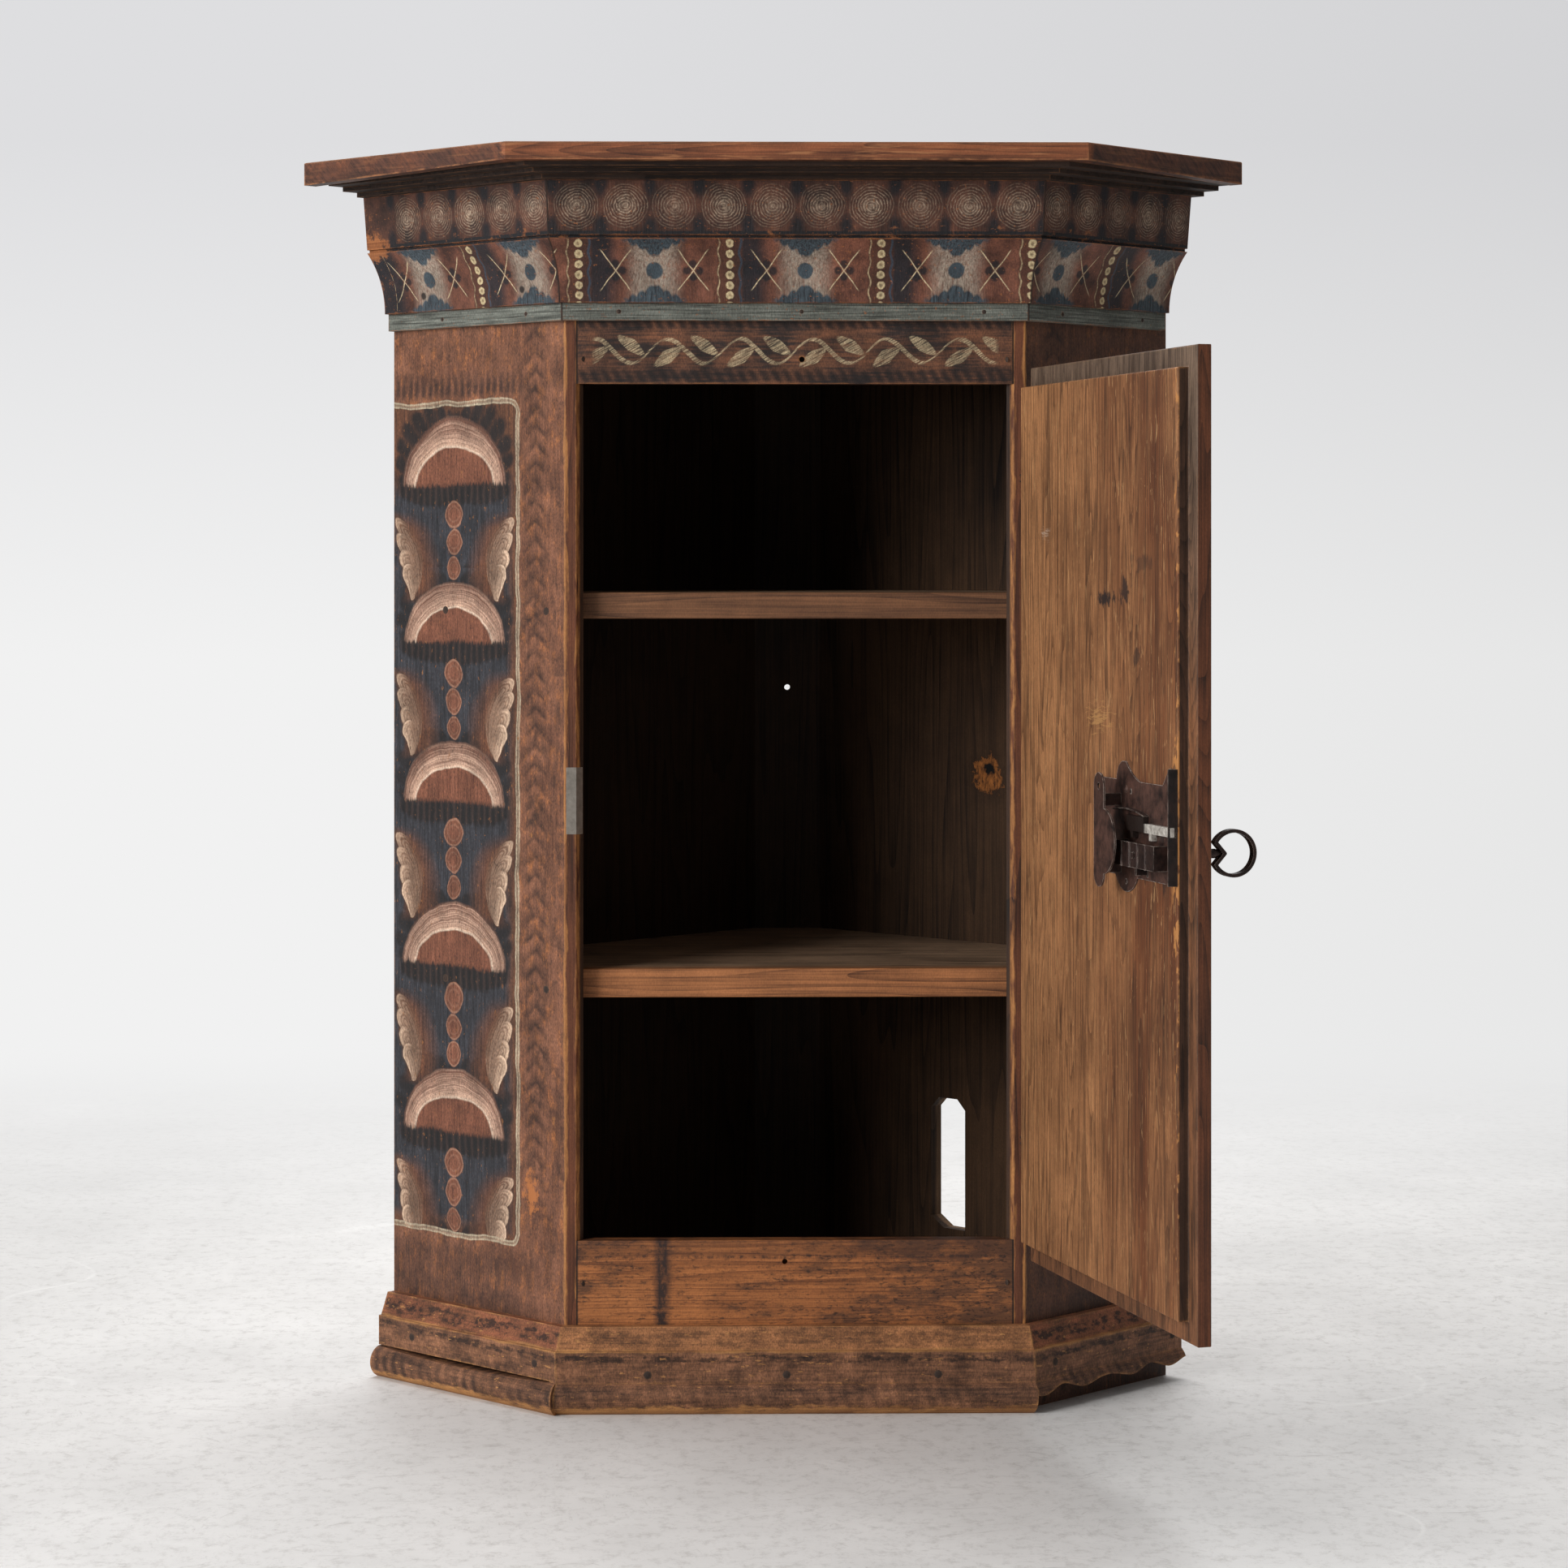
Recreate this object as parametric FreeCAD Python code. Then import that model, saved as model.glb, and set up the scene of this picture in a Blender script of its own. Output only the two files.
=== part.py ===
"""A painted pine corner cabinet of country make, standing with its door open.

Frame: millimetres, +Z up, +X to the viewer's right, +Y to the back. The origin lies on the floor,
under the middle of the front rail. The plan is worked out from the arris plane, where the front
boards and the canted side boards meet, and moved back to the origin when the parts are written.
"""

import FreeCAD
import Part
import math
import os

from FreeCAD import Vector

# Overall plan and heights
total_height = 1000.0
front_half_width = 183.0
back_reach = 392.0
rear_board_width = 58.0
side_past_back_left = 33.6
side_past_back_right = 12.6
side_thickness = 14.0
front_strip = 9.0
front_thickness = 14.0
back_thickness = 13.0
soft_edge = 1.2

# Top board and the stepped laths under it
top_thickness = 14.0
top_front_overhang = 80.0
top_side_overhang = 87.0
top_tip_shift = 6.5
top_tip_drop = 4.5
top_tip_clear = 0.4
bed_height = 11.0
bed_top_projection = 70.0
bed_step = 15.0
bed_steps = 3

# Cornice, from its top down: sloping frieze, cavetto and fillet
cornice_top_projection = 33.0
frieze_height = 43.0
frieze_slope = 4.0
quirk_depth = 2.5
quirk_height = 2.5
cavetto_height = 52.0
cavetto_foot_projection = 10.0
cavetto_depth_share = 0.22
fillet_height = 14.0
fillet_projection = 6.0
cornice_right_short = 8.0

# Opening, shelves and floor
lintel_show = 50.0
rail_top = 135.0
shelf_setback = 20.0
upper_shelf_below_lintel = 166.0
upper_shelf_thickness = 21.0
lower_shelf_top = 349.0
lower_shelf_thickness = 23.0
floor_top = 66.0
floor_thickness = 18.0
peg_hole_radius = 2.2
lintel_hole_height = 19.5
lintel_hole_right = 5.3
rail_hole_drop = 17.0
rail_hole_left = 8.3

# Back planks, their slot and the hanging hole
inner_plank_width = 182.0
slot_width = 39.0
slot_bottom = 100.0
slot_height = 112.0
slot_corner = 9.0
slot_nick = 14.4
slot_from_joint = 10.0
hanging_hole_radius = 2.6
hanging_hole_height = 563.0

# Base moulding, from its top down: sloping band, flat band and roll
base_height = 68.0
base_top_projection = 7.0
base_slope_height = 18.0
base_slope_projection = 14.0
base_band_projection = 16.5
base_band_bottom = 25.0
base_roll_projection = 22.0
base_foot_projection = 14.0
base_sprung_roll = 4.0
base_crack_gap = 0.8
base_crack_sag = 2.4
base_break_height = 17.0
base_break_wave = 3.0
base_break_waves = 3

# Door leaf, hinge pivot and opening angle
door_lip_thickness = 11.0
door_field_thickness = 8.7
door_lip_width = 15.5
door_face_gap = 0.5
door_free_gap = 3.6
door_hinge_gap = 2.1
door_top_gap = 4.0
door_bottom_gap = 2.5
door_open_angle = 105.0
pivot_outside = 2.5
pivot_front = 5.4
upper_hinge_drop = 71.0
lower_hinge_rise = 76.5
staple_wire = 1.0
staple_eye = 3.2
hinge_eye = 2.5
staple_leg = 10.0
staple_spread = 1.05

# Lock: plate, selvedge, bolt, bridge, strap and spring
lock_plate_thickness = 1.2
lock_length = 148.0
lock_below_key = 18.4
lock_height = 70.0
lock_lobe = 13.0
lock_lobe_from_edge = 97.0
lock_lobe_rise_run = 28.0
lock_lobe_fall = 20.0
lock_lobe_sag = 1.6
lock_lobe_round = 4.2
lock_ear = 12.7
lock_foot_from_edge = 97.0
lock_foot_half_width = 22.0
lock_foot_drop = 11.4
selvedge_height = 7.0
bolt_height = 6.5
bolt_thickness = 4.0
bolt_above_key = 19.5
bolt_head_length = 52.0
bolt_tail_length = 34.0
bolt_tail_height = 11.0
bolt_lug = 5.0
bolt_travel = 8.0
sliding_gap = 0.3
bridge_from_edge = 116.0
bridge_drop = 8.0
bridge_width = 41.0
bridge_height = 83.5
bridge_rise = 18.0
bridge_ear_width = 20.0
bridge_thickness = 1.4
bridge_leg_width = 9.0
bridge_leg_rise = 2.0
bridge_waist = 16.0
strap_length = 79.0
strap_height = 18.0
strap_rise = 10.5
strap_thickness = 1.5
strap_ridge = 1.1
strap_ridges = 4
spring_thickness = 0.9
spring_width = 4.5
spring_length = 62.0
rivet_radius = 2.6
rivet_height = 0.8

# Key
key_from_edge = 55.0
key_height = 463.4
key_shank_radius = 3.5
key_pin_radius = 2.4
key_bit_radius = 14.5
key_bit_thickness = 3.0
key_stem_outside = 31.0
key_bow_radius = 16.2
key_bow_band = 2.6
key_bow_width = 7.0
key_bow_mouth_angle = 150.0
key_bow_cusp = 7.0
key_point = 1.8
key_point_radius = 0.6
running_fit = 0.05
keyhole_play = 1.4

# Strike plate
strike_height = 53.0
strike_thickness = 1.2
strike_leaf = 8.0
strike_return = 7.0
strike_above_key = 21.1

# Forged nails
nail_head_radius = 3.4
nail_head_height = 0.6
nail_shank = 2.6
nail_point = 0.8
nail_length = 34.0
cornice_nail_length = 17.0
base_nail_length = 27.0
lock_nail_length = 9.0
small_head_radius = 2.4
brad_head_radius = 1.7
front_nail_inset = 6.0
lock_nail_inset = 7.7
lock_nail_from_edge = 88.0
shelf_nail_insets = (15.6, 12.4)
shelf_nail_drop = 4.5
cornice_nail_insets = (28.0, 14.4)
cornice_nail_places = (-140.0, 5.0, 150.0)
base_nail_insets = (12.6, -4.0)
base_nail_drop = 6.0
base_nail_places = (-117.0, -7.0, 113.0)
back_nail_runs = (82.0, 255.0)
top_nail_insets = (40.0, 9.4)
top_nail_places = (-90.0, 90.0)

DIAGONAL = math.sqrt(0.5)
MITRE = math.tan(math.radians(22.5))
UP = Vector(0, 0, 1)
HUGE = 4.0 * total_height
OVERCUT = 1.0
TOUCH = 0.001

solids = {}


# Plan geometry shared by the boards

def outward(side):
    """The direction that the canted side board of that side faces."""
    return Vector(side * DIAGONAL, -DIAGONAL, 0)


def along(side):
    """The direction in which that side board runs towards the wall."""
    return Vector(side * DIAGONAL, DIAGONAL, 0)


def arris(side, height=0.0):
    return Vector(side * front_half_width, 0, height)


opening_corner = arris(1) + Vector(-front_strip, 0, 0)
opening_corner += (side_thickness - front_strip * DIAGONAL) * Vector(-DIAGONAL, DIAGONAL, 0)
inner_offset = front_half_width - side_thickness / DIAGONAL
back_corner_depth = (back_reach - inner_offset) / 2.0
rear_half_width = rear_board_width / 2.0
rear_board_depth = back_reach - rear_half_width
side_run_left = back_corner_depth + side_past_back_left
side_run_right = back_corner_depth + side_past_back_right
under_top = total_height - top_thickness
cornice_top = under_top - bed_height
cornice_bottom = cornice_top - frieze_height - cavetto_height - fillet_height
lintel_bottom = cornice_bottom - lintel_show
upper_shelf_top = lintel_bottom - upper_shelf_below_lintel


def side_width(side):
    return (side_run_left if side < 0 else side_run_right) / DIAGONAL


def prism(points, bottom, top):
    """A board with a polygon plan, between two heights."""
    corners = [Vector(p.x, p.y, bottom) for p in points]
    face = Part.Face(Part.makePolygon(corners + corners[:1]))
    return face.extrude(Vector(0, 0, top - bottom))


def plate(points, normal, thickness):
    """A flat plate from a closed list of points in one plane."""
    face = Part.Face(Part.makePolygon(points + points[:1]))
    return face.extrude(normal * thickness)


def half_space(point, normal):
    """A very large block on the side of a plane that its normal points to."""
    block = Part.makeBox(HUGE, HUGE, HUGE, Vector(-HUGE / 2, -HUGE / 2, 0))
    turn = FreeCAD.Rotation(UP, normal)
    block.Placement = FreeCAD.Placement(point, turn)
    return block


def soften(shape, radius, wanted):
    """Rounds the edges that the test picks, as years of handling do."""
    edges = [edge for edge in shape.Edges if wanted(edge)]
    return shape.makeFillet(radius, edges)


def upright(edge):
    first, last = edge.Vertexes[0].Point, edge.Vertexes[-1].Point
    return abs(first.x - last.x) + abs(first.y - last.y) < TOUCH


def moulding(profile, side):
    """A length of moulding on the front (side 0) or on a side board, mitred at the front corners."""
    out = Vector(0, -1, 0) if side == 0 else outward(side)
    run = Vector(1, 0, 0) if side == 0 else along(side)
    reach = front_half_width if side == 0 else side_width(side)
    lead = 2.0 * bed_top_projection
    start = -reach - lead if side == 0 else -lead
    length = 2.0 * (reach + lead) if side == 0 else reach + lead
    foot = (Vector(0, 0, 0) if side == 0 else arris(side)) + run * start
    face = Part.Face(Part.Wire(profile))
    face.rotate(Vector(0, 0, 0), UP, math.degrees(math.atan2(out.y, out.x)))
    face.translate(foot)
    body = face.extrude(run * length)
    for corner in ((-1, 1) if side == 0 else (side,)):
        past_mitre = Vector(corner, MITRE, 0)
        body = body.cut(half_space(arris(corner), past_mitre if side == 0 else past_mitre * -1))
    return body.removeSplitter()


def line(first, last):
    return Part.LineSegment(Vector(first[0], 0, first[1]), Vector(last[0], 0, last[1])).toShape()


def arc(first, middle, last):
    points = [Vector(p[0], 0, p[1]) for p in (first, middle, last)]
    return Part.Arc(*points).toShape()


def chain(points):
    """Straight profile edges through the points given as (projection, height)."""
    return [line(a, b) for a, b in zip(points, points[1:])]


# Forged nails: a tapered square shank under a four-sided faceted head

def nail(point, direction, length=nail_length, radius=nail_head_radius):
    """A nail driven in at a point on a face. Returns the head and the shank as one solid."""
    half, tip = nail_shank / 2.0, nail_point / 2.0
    square = [(-1, -1), (1, -1), (1, 1), (-1, 1)]
    top = Part.makePolygon([Vector(x * half, y * half, 0) for x, y in square + square[:1]])
    end = Part.makePolygon([Vector(x * tip, y * tip, length) for x, y in square + square[:1]])
    shank = Part.makeLoft([top, end], True, True)
    rim = [math.radians(45 * k) for k in range(9)]
    seat = Part.makePolygon([Vector(radius * math.cos(t), radius * math.sin(t), 0) for t in rim])
    small = radius / 3.0
    crown = Part.makePolygon(
        [Vector(small * math.cos(t), small * math.sin(t), -nail_head_height) for t in rim])
    head = Part.makeLoft([seat, crown], True, True)
    driven = head.fuse(shank).removeSplitter()
    driven.Placement = FreeCAD.Placement(point, FreeCAD.Rotation(UP, direction))
    return driven


def drive(name, nails, into):
    """Adds a group of nails as one part and cuts their holes in the boards that they hold."""
    group = Part.makeCompound(nails)
    for board in into:
        solids[board] = solids[board].cut(group)
    solids[name] = group


# Carcass boards

def side_board(side):
    foot = arris(side)
    strip_end = foot + Vector(-side * front_strip, 0, 0)
    inner_edge = Vector(side * opening_corner.x, opening_corner.y, 0)
    outer_back = foot + along(side) * side_width(side)
    inner_back = outer_back - outward(side) * side_thickness
    body = prism([foot, strip_end, inner_edge, inner_back, outer_back], 0, under_top)
    return soften(body, soft_edge, lambda e: upright(e) and e.Vertexes[0].Point.y < TOUCH)


def front_board(bottom, top):
    """A front board whose ends are cut to lie on the square-cut edges of the side boards."""
    near = front_half_width - front_strip
    far = near - front_thickness
    plan = [Vector(-near, 0), Vector(near, 0), Vector(far, front_thickness), Vector(-far, front_thickness)]
    return prism(plan, bottom, top)


def drill(board, x, height, radius, depth):
    return board.cut(Part.makeCylinder(radius, 2 * depth, Vector(x, -depth, height), Vector(0, 1, 0)))


def shelf(top, thickness, setback):
    """A shelf that fills the plan between the side boards, the back planks and the rear board."""
    front = inner_offset + setback
    plan = [Vector(-front, setback), Vector(front, setback)]
    plan += [Vector(inner_offset + back_corner_depth, back_corner_depth)]
    plan += [Vector(rear_half_width, rear_board_depth), Vector(-rear_half_width, rear_board_depth)]
    plan += [Vector(-inner_offset - back_corner_depth, back_corner_depth)]
    body = prism(plan, top - thickness, top)
    return soften(body, soft_edge, lambda e: e.BoundBox.YMax < setback + TOUCH and not upright(e))


def back_plank(side, first, last):
    """A back plank between two distances from the rear board, measured along its inner face."""
    start = Vector(side * rear_half_width, rear_board_depth, 0)
    run = Vector(side * DIAGONAL, -DIAGONAL, 0)
    out = along(side) * back_thickness
    inner_first, inner_last = start + run * first, start + run * last
    outer_first = inner_first + out
    if first == 0:
        outer_first = start + Vector(0, back_thickness / DIAGONAL, 0)
    return prism([inner_first, inner_last, inner_last + out, outer_first], 0, under_top)


def cut_slot(plank, side):
    """The hand-cut slot: an upright opening with its upper corners taken off and a nicked foot."""
    run = Vector(side * DIAGONAL, -DIAGONAL, 0)
    end = Vector(side * rear_half_width, rear_board_depth, 0) + run * (inner_plank_width - slot_from_joint)
    near, far = end - along(side) * back_thickness, end - run * slot_width - along(side) * back_thickness
    low, high = UP * slot_bottom, UP * (slot_bottom + slot_height)
    nick = UP * slot_corner
    outline = [near + low, near + high - nick, near - run * slot_corner + high]
    outline += [far + run * slot_corner + high, far + high - nick, far + low + nick]
    outline += [far + run * slot_nick + low]
    return plank.cut(plate(outline, along(side), 3 * back_thickness))


def top_plan():
    """The five corners of the top board: two in front, one at each wall and one in the room corner."""
    offset = top_side_overhang * DIAGONAL
    front = front_half_width + 2 * offset - top_front_overhang
    skew = Vector(-top_tip_shift, 0, 0)
    tips = [arris(s) + along(s) * side_width(s) + outward(s) * top_side_overhang + skew for s in (1, -1)]
    walls = [front_half_width + 2 * side_run_right, front_half_width + 2 * side_run_left]
    rear = Vector((walls[0] - walls[1]) / 2, (walls[0] + walls[1]) / 2, 0)
    return [Vector(-front, -top_front_overhang), Vector(front, -top_front_overhang), tips[0], rear, tips[1]]


def thick_end(front, tip, side):
    """The side edge of the top, left thicker towards the wall than at the front."""
    lower = tip + UP * (under_top - top_tip_drop)
    corners = [front + UP * under_top, tip + UP * under_top, lower]
    width = top_side_overhang - bed_top_projection - top_tip_shift * DIAGONAL - top_tip_clear
    return Part.Face(Part.makePolygon(corners + corners[:1])).extrude(outward(side) * -width)


def bed_profile():
    """Stacked laths, each one set back by a step from the one above."""
    riser = bed_height / bed_steps
    steps = [(0.0, under_top)]
    for k in range(bed_steps):
        reach = bed_top_projection - k * bed_step
        steps += [(reach, under_top - k * riser), (reach, under_top - (k + 1) * riser)]
    steps.append((0.0, cornice_top))
    return chain(steps + steps[:1])


def cornice_profile():
    frieze_foot = cornice_top - frieze_height
    cove_top = frieze_foot - quirk_height
    cove_foot = cornice_bottom + fillet_height
    face = cornice_top_projection - frieze_slope
    cove_deep = cavetto_foot_projection + cavetto_depth_share * (face - cavetto_foot_projection)
    cove_middle = (cove_deep, (cove_top + cove_foot) / 2)
    edges = chain([(0.0, cornice_bottom), (0.0, cornice_top), (cornice_top_projection, cornice_top),
                   (face, frieze_foot), (face - quirk_depth, frieze_foot), (face - quirk_depth, cove_top),
                   (face, cove_top)])
    edges.append(arc((face, cove_top), cove_middle, (cavetto_foot_projection, cove_foot)))
    edges += chain([(cavetto_foot_projection, cove_foot), (fillet_projection, cove_foot),
                    (fillet_projection, cornice_bottom), (0.0, cornice_bottom)])
    return edges


def base_profile(sprung=0.0):
    """Sloping band, flat band and roll. The roll of the split length has sprung outwards a little."""
    step = base_height - base_slope_height
    roll_middle = base_band_bottom / 2
    edges = chain([(0.0, 0.0), (0.0, base_height), (base_top_projection, base_height),
                   (base_slope_projection, step), (base_band_projection, step),
                   (base_band_projection, base_band_bottom)])
    edges.append(arc((base_band_projection, base_band_bottom),
                     (base_roll_projection + sprung, roll_middle), (base_foot_projection + sprung, 0.0)))
    edges.append(line((base_foot_projection + sprung, 0.0), (0.0, 0.0)))
    return edges


def crack(side):
    """A flat block with a sagging underside that parts the split base along its length."""
    start = arris(side) + outward(side) * -OVERCUT + UP * (base_band_bottom + base_crack_gap)
    end = start + along(side) * side_width(side)
    middle = (start + end) * 0.5 - UP * (base_crack_gap + base_crack_sag)
    sag = Part.Arc(start - UP * base_crack_gap, middle, end - UP * base_crack_gap).toShape()
    rim = [Part.makeLine(end - UP * base_crack_gap, end), Part.makeLine(end, start)]
    rim.append(Part.makeLine(start, start - UP * base_crack_gap))
    face = Part.Face(Part.Wire(Part.__sortEdges__([sag] + rim)))
    return face.extrude(outward(side) * 2 * base_roll_projection)


def broken_foot(side):
    """The block that takes the lost lower roll away, with a wavy upper edge."""
    start = arris(side) + outward(side) * -OVERCUT - along(side) * 2 * base_roll_projection
    length = side_width(side) + 4 * base_roll_projection
    knots = 4 * base_break_waves
    points = []
    for k in range(knots + 1):
        rise = base_break_height + base_break_wave * math.sin(2 * math.pi * base_break_waves * k / knots + k)
        points.append(start + along(side) * (length * k / knots) + UP * rise)
    wave = Part.BSplineCurve()
    wave.interpolate(points)
    low_end, low_start = points[-1] * 1.0, points[0] * 1.0
    low_end.z = low_start.z = -OVERCUT
    rim = [wave.toShape(), Part.makeLine(points[-1], low_end), Part.makeLine(low_end, low_start)]
    rim.append(Part.makeLine(low_start, points[0]))
    return Part.Face(Part.Wire(rim)).extrude(outward(side) * 2 * base_roll_projection)


for side, word in ((-1, "left"), (1, "right")):
    solids["side_board_" + word] = side_board(side)
    wall_end = inner_offset + back_corner_depth - rear_half_width
    outer_end = wall_end / DIAGONAL
    solids["back_plank_%s_inner" % word] = back_plank(side, 0, inner_plank_width)
    solids["back_plank_%s_outer" % word] = back_plank(side, inner_plank_width, outer_end)
solids["back_plank_right_inner"] = cut_slot(solids["back_plank_right_inner"], 1)

rear = Part.makeBox(2 * rear_half_width, back_thickness, under_top,
                    Vector(-rear_half_width, rear_board_depth, 0))
solids["rear_corner_board"] = drill(rear, 0.0, hanging_hole_height, hanging_hole_radius, HUGE / 8)

lintel = front_board(lintel_bottom, under_top)
solids["lintel_board"] = drill(lintel, lintel_hole_right, lintel_bottom + lintel_hole_height,
                               peg_hole_radius, front_thickness)
rail = front_board(0.0, rail_top)
solids["bottom_rail"] = drill(rail, -rail_hole_left, rail_top - rail_hole_drop, peg_hole_radius,
                              front_thickness)

solids["upper_shelf"] = shelf(upper_shelf_top, upper_shelf_thickness, shelf_setback)
solids["lower_shelf"] = shelf(lower_shelf_top, lower_shelf_thickness, shelf_setback)
solids["floor_board"] = shelf(floor_top, floor_thickness, front_thickness)

corners = top_plan()
slab = prism(corners, under_top, total_height)
slab = soften(slab, soft_edge, lambda e: not upright(e) and e.CenterOfMass.z > under_top + top_thickness / 2)
for front, tip, side in ((corners[1], corners[2], 1), (corners[0], corners[4], -1)):
    slab = slab.fuse(thick_end(front, tip, side))
solids["top_board"] = slab.removeSplitter()

for side, word in ((0, "front"), (-1, "left"), (1, "right")):
    solids["bed_moulding_" + word] = moulding(bed_profile(), side)
    solids["cornice_" + word] = moulding(cornice_profile(), side)
short_end = arris(1) + along(1) * (side_width(1) - cornice_right_short)
solids["cornice_right"] = solids["cornice_right"].cut(half_space(short_end, along(1)))

solids["base_front"] = moulding(base_profile(), 0)
base_left = moulding(base_profile(base_sprung_roll), -1)
split = crack(-1)
below_crack = half_space(UP * base_band_bottom, UP * -1)
solids["base_left_upper"] = base_left.cut(below_crack).cut(split)
solids["base_left_lower"] = base_left.common(below_crack).cut(split)
solids["base_right"] = moulding(base_profile(), 1).cut(broken_foot(1))


# Door leaf and everything on it, drawn closed and then swung open about the hinge pivot

pivot = Vector(front_half_width + pivot_outside, -pivot_front, 0)
field_free = -(opening_corner.x - door_free_gap)
field_hinge = opening_corner.x - door_hinge_gap
field_bottom = rail_top + door_bottom_gap
field_top = lintel_bottom - door_top_gap
inner_face = door_field_thickness - door_face_gap
outer_face = -door_face_gap - door_lip_thickness
key_axis = Vector(field_free + key_from_edge, 0, key_height)
BACK = Vector(0, 1, 0)


def door_leaf():
    lip = Part.makeBox(field_hinge - field_free + door_lip_width, door_lip_thickness,
                       field_top - field_bottom + 2 * door_lip_width,
                       Vector(field_free - door_lip_width, outer_face, field_bottom - door_lip_width))
    field = Part.makeBox(field_hinge - field_free, door_field_thickness, field_top - field_bottom,
                         Vector(field_free, -door_face_gap, field_bottom))
    leaf = lip.fuse(field).removeSplitter()
    depth = inner_face - outer_face
    hole = Part.makeCylinder(key_shank_radius + keyhole_play, 2 * depth, key_axis - BACK * depth, BACK)
    leaf = leaf.cut(hole).cut(keyway(depth))
    return soften(leaf, soft_edge, lambda e: e.Length > 10 * door_lip_width)


def keyway(depth):
    """The upright slot below the keyhole that lets the bit through."""
    width = key_bit_thickness + 2 * sliding_gap
    drop = key_bit_radius + keyhole_play
    corner = key_axis + Vector(-width / 2, -depth, -drop)
    return Part.makeBox(width, 2 * depth, drop, corner)


def swing(shape):
    shape.rotate(pivot, UP, door_open_angle)
    return shape


def staple(center, ring_normal, direction, eye, length):
    """A wire staple: one bent wire with a round eye and two legs that close in on each other."""
    sideways = ring_normal.cross(direction)
    tangent = math.atan2(staple_spread, length) + math.acos(eye / math.hypot(staple_spread, length))

    def at(forward, across):
        return center + direction * forward + sideways * across

    rest = [at(eye * math.cos(tangent), sign * eye * math.sin(tangent)) for sign in (1, -1)]
    ends = [at(length, sign * staple_spread) for sign in (1, -1)]
    path = Part.Wire([Part.makeLine(ends[0], rest[0]), Part.Arc(rest[0], at(-eye, 0), rest[1]).toShape(),
                      Part.makeLine(rest[1], ends[1])])
    section = Part.Face(Part.Wire(Part.makeCircle(staple_wire, ends[0], rest[0] - ends[0])))
    return path.makePipe(section)


lock_left = field_free + lock_length
bridge_left = field_free + bridge_from_edge
lock_bottom = key_height - lock_below_key
lock_top = lock_bottom + lock_height
plate_top = inner_face + lock_plate_thickness
bolt_low = plate_top + sliding_gap
bolt_axis = key_height + bolt_above_key


def lock_plate():
    """The flat plate with a rounded lobe above, a round foot below and the bent-up selvedge."""
    low, high = lock_bottom, lock_top
    lobe = field_free + lock_lobe_from_edge
    edges = []
    corners = [(field_free, low), (field_free, high + lock_ear), (field_free + lock_ear, high + lock_ear),
               (field_free + 2 * lock_ear, high)]
    outline = [Vector(x, inner_face, z) for x, z in corners]
    edges += [Part.makeLine(a, b) for a, b in zip(outline, outline[1:])]
    saddle = Vector(lobe - lock_lobe_rise_run, inner_face, high)
    peak = Vector(lobe, inner_face, high + lock_lobe)
    far_saddle = Vector(lobe + lock_lobe_fall, inner_face, high)
    corner = Vector(lock_left, inner_face, high)
    edges.append(Part.makeLine(outline[-1], saddle))
    rising = (saddle + peak) * 0.5 + Vector(lock_lobe_sag, 0, -lock_lobe_sag)
    falling = (peak + far_saddle) * 0.5 + Vector(lock_lobe_round, 0, lock_lobe_round)
    edges.append(Part.Arc(saddle, rising, peak).toShape())
    edges.append(Part.Arc(peak, falling, far_saddle).toShape())
    edges.append(Part.makeLine(far_saddle, corner))
    foot = Vector(lock_left, inner_face, low)
    edges.append(Part.makeLine(corner, foot))
    hanging = Vector(field_free + lock_foot_from_edge, inner_face, low)
    half = Vector(lock_foot_half_width, 0, 0)
    edges.append(Part.makeLine(foot, hanging + half))
    edges.append(Part.Arc(hanging + half, hanging - UP * lock_foot_drop, hanging - half).toShape())
    edges.append(Part.makeLine(hanging - half, outline[0]))
    sheet = Part.Face(Part.Wire(edges)).extrude(BACK * lock_plate_thickness)
    selvedge = Part.makeBox(lock_plate_thickness, selvedge_height, lock_height + lock_ear,
                            Vector(field_free, inner_face, low))
    window = Part.makeBox(4 * lock_plate_thickness, bolt_thickness + 2 * sliding_gap,
                          bolt_height + 2 * sliding_gap,
                          Vector(field_free - lock_plate_thickness, plate_top,
                                 bolt_axis - bolt_height / 2 - sliding_gap))
    body = sheet.fuse(selvedge).cut(window)
    for x, z in ((lobe, high - lock_lobe / 2), (field_free + lock_ear, bolt_axis + 2 * lock_ear)):
        body = body.fuse(rivet(x, z))
    bore = Part.makeCylinder(key_shank_radius + running_fit, 8 * lock_plate_thickness,
                             key_axis, BACK)
    return body.cut(bore).cut(keyway(bridge_rise)).removeSplitter()


def rivet(x, z):
    return Part.makeCone(rivet_radius, rivet_radius / 2, rivet_height, Vector(x, plate_top, z), BACK)


def lock_bolt():
    """The bolt: a bright head that slides through the selvedge, a taller tail and two driving lugs."""
    head = Part.makeBox(bolt_head_length, bolt_thickness, bolt_height,
                        Vector(field_free, bolt_low, bolt_axis - bolt_height / 2))
    tail_start = field_free + bolt_head_length
    tail = Part.makeBox(bolt_tail_length, bolt_thickness, bolt_tail_height,
                        Vector(tail_start, bolt_low, bolt_axis - bolt_height / 2))
    reach = math.sqrt(key_bit_radius ** 2 - (bolt_above_key - bolt_height / 2 - bolt_lug) ** 2)
    body = head.fuse(tail)
    for start in (key_axis.x - reach - 2 * bolt_lug, key_axis.x + reach + bolt_travel + 2 * sliding_gap):
        lug = Part.makeBox(bolt_lug, bolt_thickness, bolt_lug,
                           Vector(start, bolt_low, bolt_axis - bolt_height / 2 - bolt_lug))
        body = body.fuse(lug)
    nose = Vector(field_free, bolt_low, 0) + Vector(bolt_thickness / 4, 0, 0)
    return body.cut(half_space(nose, Vector(-1, -1, 0))).removeSplitter()


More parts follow.
